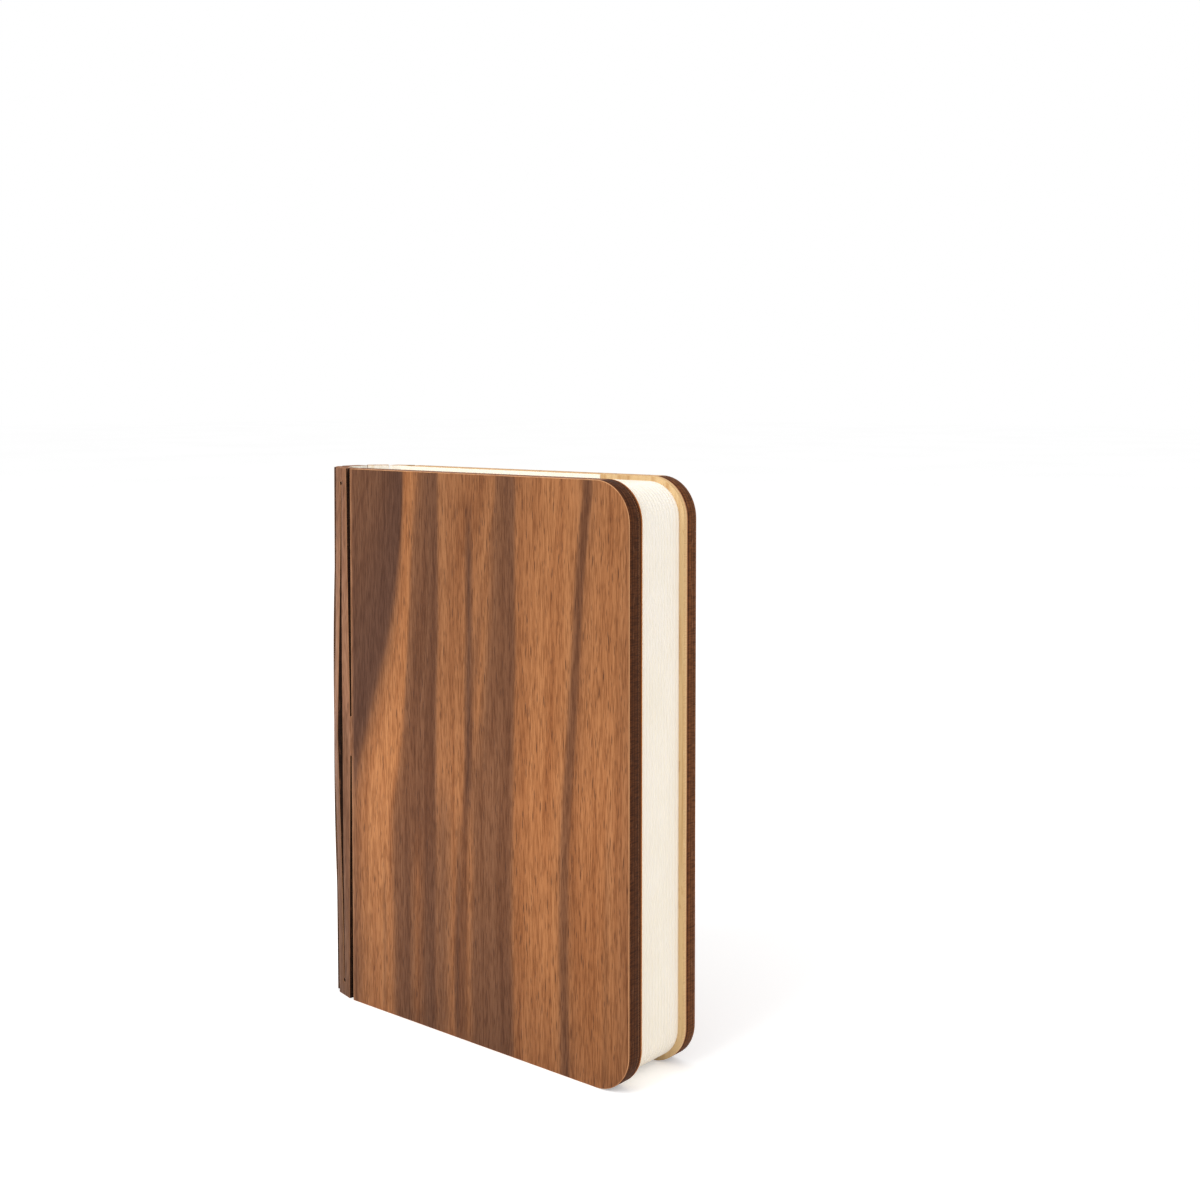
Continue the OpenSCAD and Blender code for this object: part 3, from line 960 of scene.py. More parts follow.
@dataclass
class Draft:
    """A piece on the bench: a bmesh in millimetres that the operators shape.

    Attributes:
        bm: The mesh.
        on_sheet: Where a point of the draft lies on its flat sheet.
    """

    bm: bmesh.types.BMesh = field(default_factory=bmesh.new)
    on_sheet: Callable[[Vector], Vector] = Vector.copy

    def block(self, low: Vector, high: Vector) -> None:
        """Adds a block.

        Args:
            low: Its lowest corner.
            high: Its highest corner.
        """
        made = bmesh.ops.create_cube(self.bm, size=1.0)
        bmesh.ops.scale(self.bm, vec=high - low, verts=made["verts"])
        bmesh.ops.translate(self.bm, vec=(high + low) / 2, verts=made["verts"])

    def sheet(self, low: Vector, high: Vector) -> None:
        """Adds a flat upright sheet.

        Args:
            low: Its lowest corner.
            high: Its highest corner, at the same Y.
        """
        made = bmesh.ops.create_grid(self.bm, x_segments=1, y_segments=1, size=0.5)
        bmesh.ops.rotate(self.bm, verts=made["verts"], cent=(0, 0, 0), matrix=ON_EDGE)
        bmesh.ops.scale(self.bm, vec=(high.x - low.x, 1.0, high.z - low.z), verts=made["verts"])
        bmesh.ops.translate(self.bm, vec=(low + high) / 2, verts=made["verts"])

    def draw_out(self, parts: Sequence[Face | Edge], way: Vector) -> list[Edge]:
        """Draws faces or edges out along a straight line.

        Args:
            parts: The faces or the edges.
            way: How far and where they go.

        Returns:
            The edges at their new place.
        """
        if isinstance(parts[0], Face):
            made = bmesh.ops.extrude_face_region(self.bm, geom=parts)["geom"]
        else:
            made = bmesh.ops.extrude_edge_only(self.bm, edges=parts)["geom"]
        moved = [part for part in made if isinstance(part, Vert)]
        bmesh.ops.translate(self.bm, vec=way, verts=moved)
        return [part for part in made if isinstance(part, Edge) and all(v in moved for v in part.verts)]

    def cut(self, axis: int, places: Iterable[float]) -> None:
        """Cuts the draft along level planes, and keeps both sides.

        Args:
            axis: The number of the axis that the planes cross.
            places: Where they cross it.
        """
        normal = Vector((0.0, 0.0, 0.0))
        normal[axis] = 1.0
        for place in places:
            geometry = self.bm.verts[:] + self.bm.edges[:] + self.bm.faces[:]
            bmesh.ops.bisect_plane(
                self.bm, geom=geometry, dist=1e-5, plane_co=normal * place, plane_no=normal,
            )

    def bevel(self, parts: Sequence[Edge | Vert], width: float, segments: int, affect: str = "EDGES") -> None:
        """Rounds edges or corners.

        Args:
            parts: The edges, or the corners' points.
            width: Width of the rounding.
            segments: Facets across it.
            affect: What is rounded, "EDGES" or "VERTICES".
        """
        bmesh.ops.bevel(
            self.bm, geom=parts, offset=width, offset_type="OFFSET", segments=segments,
            profile=0.5, affect=affect, clamp_overlap=True, material=-1,
        )

    def round_fore_edge(self, radius: float, segments: int = 16) -> None:
        """Rounds the two corners at the fore-edge.

        Args:
            radius: Radius of the corners.
            segments: Facets of each corner.
        """
        fore = max(v.co.x for v in self.bm.verts)
        heights = [v.co.z for v in self.bm.verts]
        ends = (min(heights), max(heights))
        fore_edges = [e for e in self.bm.edges if lies_at(e, X, fore)]
        self.bevel([e for e in fore_edges if any(lies_at(e, Z, end) for end in ends)], radius, segments)

    def soften(self, width: float, keep: Callable[[Face], bool] = lambda face: False) -> None:
        """Breaks every sharp edge with two facets.

        Args:
            width: Width of the broken edge.
            keep: Says which faces' edges stay sharp.
        """
        self.bm.normal_update()
        sharp = [
            e for e in self.bm.edges
            if len(e.link_faces) == 2 and e.calc_face_angle(0.0) > SHARP
            and not any(keep(f) for f in e.link_faces)
        ]
        self.bevel(sharp, width, segments=2)

    def finish(
        self, name: str, finishes: Sequence[Finish], choose: Callable[[Face], int] = lambda face: 0,
        place: Callable[[Vector], Vector] = Vector.copy,
    ) -> Object:
        """Turns the draft into a finished object at the lamp's scale.

        Args:
            name: The piece's name.
            finishes: Its finishes.
            choose: The number of the finish for a face of the draft.
            place: Where a point of the draft goes in the lamp.

        Returns:
            The new object.
        """
        bm = self.bm
        bm.normal_update()
        for face in bm.faces:
            face.smooth = True
            face.material_index = choose(face)
        for edge in bm.edges:
            edge.smooth = len(edge.link_faces) == 2 and edge.calc_face_angle(0.0) < SMOOTH
        layer = bm.verts.layers.float_vector.new(VENEER)
        for vert in bm.verts:
            vert[layer] = self.on_sheet(vert.co)
            vert.co = place(vert.co)
        bmesh.ops.recalc_face_normals(bm, faces=bm.faces[:])
        bmesh.ops.scale(bm, vec=(MM, MM, MM), verts=bm.verts[:])
        mesh = bpy.data.meshes.new(name)
        bm.to_mesh(mesh)
        bm.free()
        for finish in finishes:
            mesh.materials.append(finish.material())
        piece = bpy.data.objects.new(name, mesh)
        bpy.context.scene.collection.objects.link(piece)
        return piece


def millimetres(point: Iterable[float]) -> Vector:
    """A point of the frame, in millimetres."""
    return Vector([value / MM for value in point])


def lies_at(part: Face | Edge, axis: int, place: float) -> bool:
    """Whether a whole face or edge lies at one place along an axis."""
    return all(abs(vert.co[axis] - place) < SAME for vert in part.verts)


def ends_before(part: Edge, x: float) -> bool:
    """Whether a whole edge lies between the spine and a place."""
    return all(vert.co.x < x + NEAR for vert in part.verts)


def sheet_zone(face: Face) -> Zone:
    """Tells the zone of a sheet that a face is in, by its slope.

    Args:
        face: A face of the flat sheet.

    Returns:
        Its zone. The broken edges at the foot weren't sanded, so they count as cut.
    """
    slope = abs(face.normal.y)
    if slope > FLAT:
        return Zone.FACE
    return Zone.ARRIS if slope > SLOPING and face.normal.z > DOWNWARD else Zone.CUT_EDGE


@cache
def box_of(node: str) -> tuple[Vector, Vector]:
    """Lowest and highest corner of a CAD node, in millimetres."""
    low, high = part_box(node)
    return millimetres(low).freeze(), millimetres(high).freeze()


# ---------------------------------------------------------------------------------------------
# Sub-assemblies
# ---------------------------------------------------------------------------------------------


@dataclass
class BendLines:
    """The six lines that the spine bends about, from the front cover round to the back cover.

    Attributes:
        points: A point on each line, in mm.
        headings: Headings of the front cover, the five slats and the back cover, in degrees.
        bodies: Their bodies.
    """

    points: list[Vector]
    headings: list[float]
    bodies: tuple[str, ...] = (
        "front_cover", "front_outer_slat", "front_inner_slat", "spine_middle",
        "back_inner_slat", "back_outer_slat", "back_cover",
    )

    @classmethod
    def of_lamp(cls, joints: Iterable[dict]) -> "BendLines":
        """Reads the lines from the record's joints.

        Args:
            joints: The joints.

        Returns:
            The lines.
        """
        places = {joint["name"]: millimetres(joint["pos_m"]) for joint in joints}
        points = [places[name] for name in (
            "cover_bend_front", "spine_bend_front_outer", "spine_bend_front_inner",
            "spine_bend_back_inner", "spine_bend_back_outer", "cover_bend_back",
        )]
        turns = [math.degrees(math.atan2((b - a).y, (b - a).x)) for a, b in zip(points, points[1:])]
        return cls(points, [180.0, *turns, 0.0])


@dataclass
class Cover:
    """One cover: walnut plywood with a pale board on its inner face.

    Attributes:
        side: Which half of the lamp it closes.
        lines: The spine's bend lines.
        corner_radius: Radius of the two fore-edge corners.
        bridge_height: Height of the bridge to the spine.
        pocket_depth: Depth of the magnets' pockets.
        pocket_play: Room round a magnet in its pocket.
        pocket_facets: Facets of the wall of a pocket.
        edge_break: Width of the plywood's sanded edges.
        board_edge_break: Width of the board's sanded edges.
    """

    side: Side
    lines: BendLines
    corner_radius: float = 8.5
    bridge_height: float = 9.0
    pocket_depth: float = 1.5
    pocket_play: float = 0.1
    pocket_facets: int = 48
    edge_break: float = 0.12
    board_edge_break: float = 0.08

    def build(self) -> list[Object]:
        """Makes the plywood and the board, and lets them ride on the cover.

        Returns:
            The two pieces.
        """
        return [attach(piece, f"{self.side.word}_cover") for piece in (self.plywood(), self.board())]

    def sheet_place(self, low: Vector, high: Vector, start: float) -> Callable[[Vector], Vector]:
        """Says where the points of a sheet lie on it.

        Args:
            low: Lowest corner of the sheet.
            high: Highest corner of the sheet.
            start: The X that distances across are measured from.

        Returns:
            A function that turns a point into its distance across, outwards from the middle, and up.
        """
        middle = (low.y + high.y) / 2
        return lambda co: Vector((co.x - start, (co.y - middle) * self.side.value, co.z))

    def plywood(self) -> Object:
        """Makes the plywood, with its bridge to the spine and the pockets for the magnets.

        Returns:
            The finished piece, in place of its CAD node.
        """
        low, high = box_of(f"{self.side.word}_cover")
        edge = box_of(f"{self.side.word}_board")[0].x
        hinge = self.lines.points[0 if self.side is Side.FRONT else -1].x
        middle_z = (low.z + high.z) / 2
        draft = Draft(on_sheet=self.sheet_place(low, high, edge))
        draft.block(Vector((edge, low.y, low.z)), high)
        draft.cut(Z, (middle_z - self.bridge_height / 2, middle_z + self.bridge_height / 2))
        draft.round_fore_edge(self.corner_radius)
        centres = {face: face.calc_center_median() for face in draft.bm.faces}
        bridge = min(centres, key=lambda f: (round(centres[f].x, 3), abs(centres[f].z - middle_z)))
        tip = bmesh.ops.extrude_discrete_faces(draft.bm, faces=[bridge])["faces"][0]
        bmesh.ops.translate(draft.bm, vec=(hinge - edge, 0.0, 0.0), verts=tip.verts[:])
        draft.soften(self.edge_break, keep=lambda f: f.calc_center_median().x < edge - NEAR)
        piece = draft.finish(
            f"{self.side.word}_cover_plywood", PLYWOOD_FINISHES[self.side],
            choose=lambda f: Zone.HEAD if f.normal.z > LEVEL else sheet_zone(f),
        )
        self.sink_pockets(piece)
        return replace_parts(piece, f"{self.side.word}_cover")

    def sink_pockets(self, piece: Object) -> None:
        """Cuts the two round pockets, which the board hides, into the inner face.

        Args:
            piece: The plywood.
        """
        low, high = box_of(f"{self.side.word}_magnets")
        magnet_radius = (high.x - low.x) / 2
        radius = magnet_radius + self.pocket_play
        inner_y = low.y if self.side is Side.BACK else high.y
        cutter = Draft()
        for z in (low.z + magnet_radius, high.z - magnet_radius):
            made = bmesh.ops.create_cone(
                cutter.bm, cap_ends=True, segments=self.pocket_facets, radius1=radius, radius2=radius,
                depth=2 * self.pocket_depth,
            )
            bmesh.ops.rotate(cutter.bm, verts=made["verts"], cent=(0, 0, 0), matrix=ON_EDGE)
            bmesh.ops.translate(cutter.bm, vec=((low.x + high.x) / 2, inner_y, z), verts=made["verts"])
        tool = cutter.finish("pocket_cutter", [FRONT_CUT_EDGE])
        modifier = piece.modifiers.new("Pockets", "BOOLEAN")
        modifier.operation, modifier.object, modifier.solver = "DIFFERENCE", tool, "EXACT"
        bpy.context.view_layer.update()
        mesh = bpy.data.meshes.new_from_object(piece.evaluated_get(bpy.context.evaluated_depsgraph_get()))
        piece.modifiers.clear()
        piece.data = mesh
        bpy.data.objects.remove(tool)

    def board(self) -> Object:
        """Makes the pale board, flush with the plywood.

        Returns:
            The finished piece, in place of its CAD node.
        """
        low, high = box_of(f"{self.side.word}_board")
        draft = Draft(on_sheet=self.sheet_place(low, high, 0.0))
        draft.block(low, high)
        draft.round_fore_edge(self.corner_radius)
        draft.soften(self.board_edge_break)
        piece = draft.finish(
            f"{self.side.word}_cover_lining", BOARD_FINISHES[self.side],
            choose=lambda f: Zone.FACE if abs(f.normal.y) > FLAT else Zone.CUT_EDGE,
        )
        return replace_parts(piece, f"{self.side.word}_board")


@dataclass
class LivingHinge:
    """The laser-cut spine: five slats, each of two ligaments that twist as the lamp opens.

    A ligament is flat at the ends of its slat. Half way up it reaches the bridge to the next slat,
    where it lies half turned, so that the two ligaments of the bridge are in line. The middle slat
    is glued to the core and doesn't twist, so its neighbours take the whole turn.

    Attributes:
        lines: The spine's bend lines.
        slats: Number of slats.
        glued_slat: Number of the middle slat.
        thickness: Thickness of the plywood.
        end_width: Width of a slat at its two ends.
        bridge_height: Height of a bridge.
        slit_width: Width of a slit half way up.
        kerf: Width of the laser's cut at the ends of a slit.
        relief_radius: Radius of the hole at each end of a slit.
        relief_z: Distance from the end of a slat to its hole.
        relief_facet: Turn of each facet of a hole, in degrees.
        first_rung: Distance from the hole to the first cross line, above which a ligament can twist.
        rungs: Steps in which it twists.
        cover_slot: Width of the slot beside a cover.
        edge_break: Width of the sanded edges.
    """

    lines: BendLines
    slats: int = 5
    glued_slat: int = 3
    thickness: float = 3.2
    end_width: float = 5.0
    bridge_height: float = 9.0
    slit_width: float = 1.2
    kerf: float = 0.25
    relief_radius: float = 0.45
    relief_z: float = 3.5
    relief_facet: int = 20
    first_rung: float = 1.5
    rungs: int = 16
    cover_slot: float = 1.0
    edge_break: float = 0.1

    def build(self) -> list[Object]:
        """Makes the five slats, four quarters to each.

        Returns:
            The quarters.
        """
        return [
            self.ligament(slat, line, half)
            for slat in range(1, self.slats + 1) for line in (slat - 1, slat) for half in Half
        ]

    def ligament(self, slat: int, line: int, half: Half) -> Object:
        """Makes the upper or lower half of one ligament.

        Args:
            slat: Number of the slat, from 1 at the front.
            line: Number of the bend line that the ligament reaches.
            half: The end of the slat.

        Returns:
            The finished piece. It rides on its slat's body where the slat doesn't turn, and otherwise stays
            where it is made.
        """
        points, headings, bodies = self.lines.points, self.lines.headings, self.lines.bodies
        pitch = (points[slat] - points[slat - 1]).length
        middle = LAMP_HEIGHT / 2
        neighbour = slat + 1 if line == slat else slat - 1
        turn = headings[neighbour] - headings[slat]
        reach = self.turn_at_bridge(slat, neighbour)
        full_height = middle if reach == 1 else LAMP_HEIGHT
        way = -1 if line == slat else 1
        sheet_x = -self.cover_slot / 2 - pitch * line

        def in_spine(co: Vector) -> Vector:
            """Bends a point of the flat ligament.

            Args:
                co: The point.

            Returns:
                Its place in the shut spine.
            """
            angle = headings[slat] + turn * (smooth_step(co.z / full_height) if reach else 0.0)
            point = points[line] + way * co.x * heading(angle) + co.y * heading(angle + 90)
            return Vector((point.x, point.y, self.turned(co.z, half)))

        def zone(face: Face) -> Zone:
            """Tells the zone that a face of the flat ligament is in.

            Args:
                face: The face.

            Returns:
                Its zone. The slat's other end is finished like its head.
            """
            if face.normal.y < -FLAT:
                return Zone.INNER_FACE
            return Zone.HEAD if face.normal.z < -LEVEL else sheet_zone(face)

        draft = self.flat_ligament(pitch)
        draft.on_sheet = lambda co: Vector((sheet_x - way * co.x, co.y, self.turned(co.z, half)))
        hand = "front" if line < slat else "back"
        head_edge = FRONT_HEAD_EDGE if slat <= self.glued_slat else BACK_HEAD_EDGE
        piece = draft.finish(
            f"spine_slat_{slat}_{hand}_ligament_{half.name.lower()}",
            (SPINE_WALNUT, CHARRED_SHADED_EDGE, ARRIS, head_edge, INNER_PLY_PAINTED_GLOW), choose=zone, place=in_spine,
        )
        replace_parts(piece, f"spine_slat_{slat}")
        if not reach:
            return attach(piece, bodies[slat])
        foot, head = (0.0, LAMP_HEIGHT) if half is Half.LOWER else (LAMP_HEIGHT, 0.0)
        end = head if reach < 1 else middle
        start, end = (0, 0, foot * MM), (0, 0, end * MM)
        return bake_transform(piece)

    def turn_at_bridge(self, slat: int, neighbour: int) -> float:
        """Works out how far a ligament is turned towards its neighbour, half way up.

        Args:
            slat: Number of the ligament's slat.
            neighbour: Number of the slat or cover across the bridge, from 0 at the front.

        Returns:
            The share of the turn: none on the middle slat, all of it beside that slat or a cover.
        """
        if slat == self.glued_slat:
            return 0.0
        return 1.0 if neighbour in (0, self.glued_slat, self.slats + 1) else 0.5

    def turned(self, z: float, half: Half) -> float:
        """The height of a point of the lower half, in the half that is made."""
        return z if half is Half.LOWER else LAMP_HEIGHT - z

    def flat_ligament(self, pitch: float) -> Draft:
        """Makes the lower half of a ligament, flat: X from its bend line, Y through, Z up.

        Args:
            pitch: Distance between the slat's two bend lines.

        Returns:
            The draft.
        """
        middle = LAMP_HEIGHT / 2
        bridge = middle - self.bridge_height / 2
        draft = Draft()
        draft.block(Vector((0, -self.thickness / 2, 0)), Vector((pitch / 2, self.thickness / 2, middle)))
        turns = [math.radians(a) for a in range(0, 181, self.relief_facet)]
        hole = [self.relief_z - self.relief_radius * math.cos(turn) for turn in turns]
        first = self.relief_z + self.first_rung
        rungs = [along(k / self.rungs, first, bridge) for k in range(self.rungs + 1)]
        draft.cut(Z, [*hole, *rungs, (bridge + middle) / 2])
        for vert in draft.bm.verts:
            if vert.co.x < pitch / 4:
                vert.co.x = self.outer_edge(vert.co.z, pitch, bridge)
            else:
                vert.co.x = pitch / 2 - self.half_slit(vert.co.z, middle)
        seam = self.relief_z - self.relief_radius

        def joins(face: Face) -> bool:
            """Tells the faces that meet the next quarter of the slat or the bridge.

            Args:
                face: A face of the ligament.

            Returns:
                Whether it is one of them.
            """
            centre = face.calc_center_median()
            sideways = abs(face.normal.x) > FLAT
            at_seam = sideways and centre.x > pitch / 4 and centre.z < seam
            at_bridge = sideways and centre.x < pitch / 4 and centre.z > bridge
            return at_seam or at_bridge or centre.z > middle - NEAR

        draft.soften(self.edge_break, keep=joins)
        return draft

    def outer_edge(self, z: float, pitch: float, bridge: float) -> float:
        """Distance from the bend line to the ligament's outer edge: none at the bridge."""
        return along(min(z / bridge, 1.0), (pitch - self.end_width) / 2, 0.0)

    def half_slit(self, z: float, middle: float) -> float:
        """Works out the width of the slit, with the round hole at its end.

        Args:
            z: Height above the end of the slat.
            middle: Half the slat's height.

        Returns:
            Half the width at that height, or 0 below the hole.
        """
        off = z - self.relief_z
        if off < SAME - self.relief_radius:
            return 0.0
        hole = math.sqrt(max(self.relief_radius**2 - off**2, 0.0))
        if off <= 0.0:
            return hole
        return max(hole, along(off / (middle - self.relief_z), self.kerf / 2, self.slit_width / 2))


@dataclass
class PageFan:
    """The accordion of one folded sheet: flat panels joined by round outer and tight inner folds.

    Attributes:
        side: Which half of the fan.
        leaves: Number of panels in the half.
        thickness: Thickness of the paper.
        outer_radius: Radius of the round outer folds, at the middle of the paper.
        corner_radius: Radius of the panels' fore-edge corners.
        corner_facets: Facets of each corner.
        fold_depth: Depth of a pressed outer fold, as a share of the depth of a round one.
        fold_facet: Turn of each facet of a fold, in degrees.
        fewest_facets: Facets that even a slight fold has.
        columns: Columns of facets across a panel.
        rows: Rows of facets up a panel.
        bow: How far a panel bows between its folds.
        bow_per_mm: Waves of the bow for each millimetre across and up.
        bow_per_page: Waves by which the bow of the next panel differs.
        lining_end: Distance from the pages' fore-edge to where the glued panel narrows.
        lining_inset: Distance from the board's head and foot to the glued panel.
    """

    side: Side
    leaves: int = 14
    thickness: float = 0.2
    outer_radius: float = 0.385
    corner_radius: float = 7.5
    corner_facets: int = 10
    fold_depth: float = 0.38
    fold_facet: float = 20.0
    fewest_facets: int = 4
    columns: int = 9
    rows: int = 12
    bow: float = 0.05
    bow_per_mm: tuple[float, float] = (0.03, 0.025)
    bow_per_page: float = 1.7
    lining_end: float = 20.8
    lining_inset: float = 0.1

    def build(self) -> list[Object]:
        """Makes the panels, and the folds between them.

        Returns:
            The pieces of this half of the fan.
        """
        panels = [self.panel(number) for number in range(1, self.leaves + 1)]
        folds = [self.outer_fold(n) if n % 2 else self.inner_fold(n) for n in range(1, self.leaves)]
        return [*panels, *folds, self.middle_fold()]

    def body(self, number: int) -> str:
        """The body that carries a panel. The first one is glued to the cover."""
        return f"{self.side.word}_cover" if number == 1 else self.node(number)

    def node(self, number: int) -> str:
        """The CAD node of a panel."""
        return f"{self.side.word}_leaf_{number:02d}"

    def panel_box(self, number: int) -> tuple[Vector, Vector]:
        """Finds the space of a flat panel, without its outer fold.

        Args:
            number: Number of the panel, from 1 at the cover.

        Returns:
            Its lowest and its highest corner.
        """
        low, high = box_of(self.node(number + 1 if number % 2 else number))
        own_low, own_high = box_of(self.node(number))
        near_y = own_low.y if self.side is Side.FRONT else own_high.y - self.thickness
        return Vector((low.x, near_y, low.z)), Vector((high.x, near_y + self.thickness, high.z))

    def fore_x(self) -> float:
        """The foremost reach of the folds and of the panels' round corners."""
        return box_of(self.node(1))[1].x

    def fold_x(self) -> float:
        """Where the panels end and the round outer folds begin."""
        round_depth = self.thickness / 2 + self.outer_radius * (1 + math.cos(self.gape(2)))
        return self.fore_x() - self.fold_depth * round_depth

    def gape(self, number: int) -> float:
        """Half the angle, in radians, that a round fold from a panel to the next one leaves open."""
        return math.asin(abs(self.middle_y(number) - self.middle_y(number + 1)) / 2 / self.outer_radius)

    def middle_y(self, number: int) -> float:
        """The middle of a panel's thickness."""
        low, high = self.panel_box(number)
        return (low.y + high.y) / 2

    def panel(self, number: int) -> Object:
        """Makes one flat panel. Its corners are cut round, and its fore-edge ends where a fold begins.

        Args:
            number: Number of the panel, from 1 at the cover.

        Returns:
            The finished piece, in place of its CAD node.
        """
        low, high = self.panel_box(number)
        fold, round_x = self.fold_x(), self.fore_x() - self.corner_radius
        inset = self.fore_x() - fold
        lining_x = self.fore_x() - self.lining_end
        draft = Draft()
        draft.sheet(Vector((low.x, low.y, low.z + inset)), Vector((fold, low.y, high.z - inset)))
        corners = [v for v in draft.bm.verts if v.co.x > fold - NEAR]
        draft.bevel(corners, self.corner_radius - inset, self.corner_facets, "VERTICES")
        columns = [along(k / self.columns, low.x, round_x) for k in range(1, self.columns)]
        draft.cut(X, [*columns, lining_x, round_x])
        foot, head = low.z + self.corner_radius, high.z - self.corner_radius
        draft.cut(Z, [along(k / self.rows, foot, head) for k in range(self.rows + 1)])
        for rim_z, way in ((high.z - inset, 1), (low.z + inset, -1)):
            rim = [e for e in draft.bm.edges if lies_at(e, Z, rim_z) and ends_before(e, round_x)]
            rim = draft.draw_out(rim, Vector((0.0, 0.0, way * inset)))
            if number == 1:
                # The glued panel lines the board up to its head and down to its foot.
                rim = [e for e in rim if lies_at(e, Z, rim_z + way * inset) and ends_before(e, lining_x)]
                draft.draw_out(rim, Vector((0.0, 0.0, way * (low.z - self.lining_inset))))
        draft.draw_out(draft.bm.faces[:], Vector((0.0, self.thickness, 0.0)))

        def bowed(co: Vector) -> Vector:
            """Bows a point of the panel, least at its folds. The glued panel stays flat.

            Args:
                co: The point of the flat panel.

            Returns:
                Its place in the bowed panel.
            """
            share = math.sin(math.pi * min(max((co.x - low.x) / (high.x - low.x), 0.0), 1.0))
            if number == 1:
                return co
            across, up = self.bow_per_mm
            wave = noise.noise(Vector((co.x * across, number * self.bow_per_page, co.z * up)))
            return Vector((co.x, co.y + self.bow * wave * share, co.z))

        piece = draft.finish(f"{self.side.word}_page_{number:02d}", [PAPER], place=bowed)
        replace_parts(piece, self.node(number))
        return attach(piece, self.body(number))

    def crease(
        self, name: str, centre: Vector, radius: float, sweep: tuple[float, float],
        height: tuple[float, float], round_x: float | None = None,
    ) -> Object:
        """Bends a strip of paper round a standing line.

        Args:
            name: The piece's name.
            centre: A point on the line.
            radius: Radius of the bend at the middle of the paper.
            sweep: Heading of the bend's first end, and how far it goes round, in degrees.
            height: Heights of its two ends.
            round_x: The X of the round corners' centre, where the bend goes on round the corners.

        Returns:
            The finished strip.
        """
        draft = Draft()
        bm = draft.bm
        first, turn = sweep
        ends = [centre + heading(first) * (radius + way * self.thickness / 2) for way in (1, -1)]
        pair = [bm.verts.new((end.x, end.y, height[0])) for end in ends]
        facets = max(self.fewest_facets, round(abs(turn) / self.fold_facet))
        bmesh.ops.spin(
            bm, geom=[*pair, bm.edges.new(pair)], cent=(centre.x, centre.y, 0.0), axis=(0.0, 0.0, 1.0),
            dvec=(0.0, 0.0, 0.0), angle=math.radians(turn), steps=facets, use_merge=False,
        )
        if round_x:
            # A fold pressed in a shut book is flatter than a half circle.
            from_fold = Matrix.Translation((-self.fold_x(), 0.0, 0.0))
            bmesh.ops.scale(bm, vec=(self.fold_depth, 1.0, 1.0), space=from_fold, verts=bm.verts[:])
        draft.draw_out(bm.faces[:], Vector((0.0, 0.0, height[1] - height[0])))
        for z, way in zip(height, (1.0, -1.0)) if round_x else ():
            end = [face for face in bm.faces if lies_at(face, Z, z)]
            edges = {edge for face in end for edge in face.edges}
            verts = {vert for face in end for vert in face.verts}
            bmesh.ops.spin(
                bm, geom=[*verts, *edges, *end], cent=(round_x, 0.0, z), axis=(0.0, way, 0.0),
                dvec=(0.0, 0.0, 0.0), angle=math.pi / 2, steps=self.corner_facets, use_merge=False,
            )
        return draft.finish(name, [PAPER])

    def outer_fold(self, number: int) -> Object:
        """Makes the round fold from an odd panel to the next one.

        Args:
            number: Number of the odd panel.

        Returns:
            The finished piece, baked in place between the one and the other.
        """
        low, high = self.panel_box(number)
        one, other = self.middle_y(number), self.middle_y(number + 1)
        gape = math.degrees(self.gape(number))
        centre_x = self.fold_x() + self.outer_radius * math.cos(self.gape(number))
        centre = Vector((centre_x, (one + other) / 2, 0.0))
        height = (low.z + self.corner_radius, high.z - self.corner_radius)
        piece = self.crease(
            f"{self.side.word}_outer_fold_{(number + 1) // 2}", centre, self.outer_radius,
            (gape - 180, 360 - 2 * gape), height, self.fore_x() - self.corner_radius,
        )
        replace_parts(piece, self.node(number))
        return self.bend(piece, number)

    def inner_fold(self, number: int) -> Object:
        """Makes the tight fold from an even panel to the next one.

        Args:
            number: Number of the even panel.

        Returns:
            The finished piece, baked in place between the one and the other.
        """
        low, high = self.panel_box(number)
        one, other = self.middle_y(number), self.middle_y(number + 1)
        centre = Vector((low.x, (one + other) / 2, 0.0))
        name = f"{self.side.word}_inner_fold_{number // 2}"
        piece = self.crease(name, centre, abs(one - other) / 2, (90, 180), (low.z, high.z))
        return self.bend(piece, number)

    def middle_fold(self) -> Object:
        """Makes this half's share of the fold that joins the two halves in the middle.

        Returns:
            The finished piece, which rides on the last panel.
        """
        low, high = self.panel_box(self.leaves)
        sweep = (90, 90) if self.side is Side.BACK else (270, -90)
        radius = abs(self.middle_y(self.leaves))
        name = f"{self.side.word}_middle_fold"
        piece = self.crease(name, Vector((low.x, 0.0, 0.0)), radius, sweep, (low.z, high.z))
        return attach(piece, self.body(self.leaves))

    def bend(self, piece: Object, number: int) -> Object:
        """Bakes a fold's place into its mesh, between a panel and the next one.

        Args:
            piece: The fold.
            number: Number of the panel.

        Returns:
            The fold.
        """
        start, end = ((0, self.middle_y(n) * MM, 0) for n in (number, number + 1))
        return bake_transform(piece)


@dataclass
class LightCore:
    """The core on the middle slat. Its CAD nodes have the right shape, and get their finishes here.

    Attributes:
        nodes: The CAD nodes by name.
        finishes: The finish of each of the core's nodes, and of the magnets.
    """

    nodes: dict[str, Object]
    finishes: dict[str, Finish] = field(default_factory=lambda: {
        "core_channel": CHANNEL_BLACK,
        "core_lens": LENS,
        "light_strip": WHITE_BOARD,
        "light_chips": CHIP,
        "cell": CELL_FOIL,
        "control_board": GREEN_BOARD,
        "charging_socket": STEEL,
        "front_magnets": NICKEL,
        "back_magnets": NICKEL,
    })

    def build(self) -> list[Object]:
        """Dresses the CAD nodes.

        Returns:
            The nodes.
        """
        for node, finish in self.finishes.items():
            slots = self.nodes[node].data.materials
            slots.clear()
            slots.append(finish.material())
        return [self.nodes[node] for node in self.finishes]


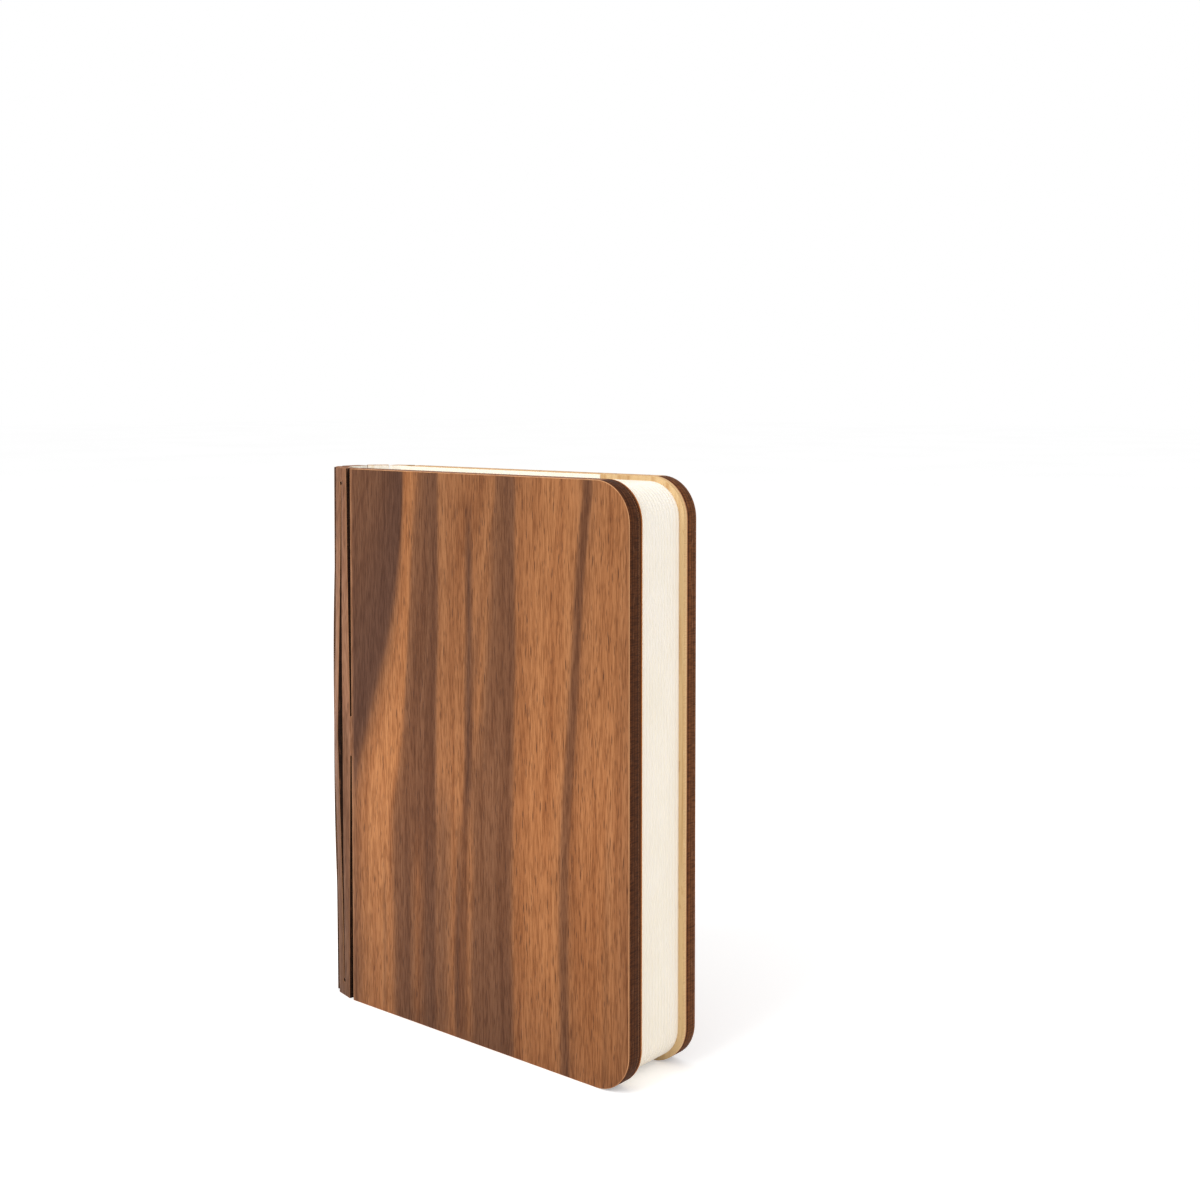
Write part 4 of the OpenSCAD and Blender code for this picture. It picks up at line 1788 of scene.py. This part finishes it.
@dataclass(frozen=True)
class Softbox:
    """A soft square studio light, hung so that it faces the lamp.

    Attributes:
        name: Its name.
        place: Where it hangs, in mm.
        size: Length of its sides, in mm.
        power: Its power in watts.
        target: What it faces, in mm.
    """

    name: str
    place: Triple
    size: float
    power: float
    target: Triple = (0.0, 0.0, 60.0)

    def hang(self) -> None:
        """Hangs the light."""
        data = bpy.data.lights.new(self.name, "AREA")
        data.shape, data.size, data.energy = "SQUARE", self.size * MM, self.power
        light = bpy.data.objects.new(self.name, data)
        light.location = Vector(self.place) * MM
        way = Vector(self.target) - Vector(self.place)
        light.rotation_euler = way.to_track_quat("-Z", "Y").to_euler()
        bpy.context.scene.collection.objects.link(light)


@dataclass
class Studio:
    """A pale floor, soft lights and the camera.

    Attributes:
        camera_place: Where the camera stands, in mm.
        camera_turn: Its heading, in radians to the left of +Y.
        camera_dip: How far it looks down, in radians.
        lens: Focal length, in mm.
        sensor: Width of the sensor, in mm.
        shift_y: Rise of the lens that frames the object as the photograph does.
        clip: How near and how far the camera sees, in metres.
        floor_reach: Distance from the lamp to the floor's sides, in mm.
        room_light: How strongly the white room lights the lamp.
        lights: The soft lights.
    """

    camera_place: Triple = (238.946, -252.268, 139.216)
    camera_turn: float = 0.6918
    camera_dip: float = 0.0465
    lens: float = 47.922
    sensor: float = 36.0
    shift_y: float = -0.11125
    clip: tuple[float, float] = (0.01, 20.0)
    floor_reach: float = 6000.0
    room_light: float = 0.75
    lights: tuple[Softbox, ...] = (
        Softbox("Key", (-150.0, -700.0, 620.0), 600.0, 5.0),
        Softbox("Fill", (620.0, -60.0, 420.0), 500.0, 1.0),
    )

    def build(self) -> list[Object]:
        """Makes the camera, the floor, the room and the lights.

        Returns:
            The floor.
        """
        self.stand_camera()
        floor = self.lay_floor()
        self.light_room()
        for light in self.lights:
            light.hang()
        bpy.context.scene.view_settings.view_transform = "Standard"
        return [floor]

    def stand_camera(self) -> None:
        """Stands the camera where the photograph was taken."""
        data = bpy.data.cameras.new("Camera")
        data.sensor_width = self.sensor
        data.lens = self.lens
        data.shift_y = self.shift_y
        data.clip_start, data.clip_end = self.clip
        camera = bpy.data.objects.new("Camera", data)
        camera.location = Vector(self.camera_place) * MM
        camera.rotation_euler = (math.pi / 2 - self.camera_dip, 0.0, self.camera_turn)
        bpy.context.scene.collection.objects.link(camera)
        bpy.context.scene.camera = camera

    def lay_floor(self) -> Object:
        """Lays the floor.

        Returns:
            The floor, which isn't part of the lamp.
        """
        draft = Draft()
        bmesh.ops.create_grid(draft.bm, x_segments=1, y_segments=1, size=self.floor_reach)
        floor = draft.finish("Floor", [FLOOR_PAPER])
        return floor

    def light_room(self) -> None:
        """Lights the room evenly, and shows plain white behind the lamp."""
        world = bpy.data.worlds.new("Studio")
        bpy.context.scene.world = world
        world.use_nodes = True
        tree = world.node_tree
        tree.nodes.clear()
        strength = add(tree, "MapRange", seen(tree), 0.0, 1.0, self.room_light, 1.0)
        add(tree, "OutputWorld", add(tree, "Background", WHITE, strength))


def main() -> None:
    """Builds the studio and the lamp."""
    logging.basicConfig(level=logging.INFO, format="%(name)s: %(message)s")
    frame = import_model()
    lines = BendLines.of_lamp(frame["joints"])
    assemblies = (
        Studio(), Cover(Side.FRONT, lines), Cover(Side.BACK, lines), LivingHinge(lines),
        PageFan(Side.FRONT), PageFan(Side.BACK), LightCore(frame["nodes"]),
    )
    for assembly in assemblies:
        for piece in assembly.build():
            mesh = piece.data
            log.info("%s: %s, %d faces", piece.name, mesh.materials[0].name, len(mesh.polygons))


if __name__ == "__main__":
    main()
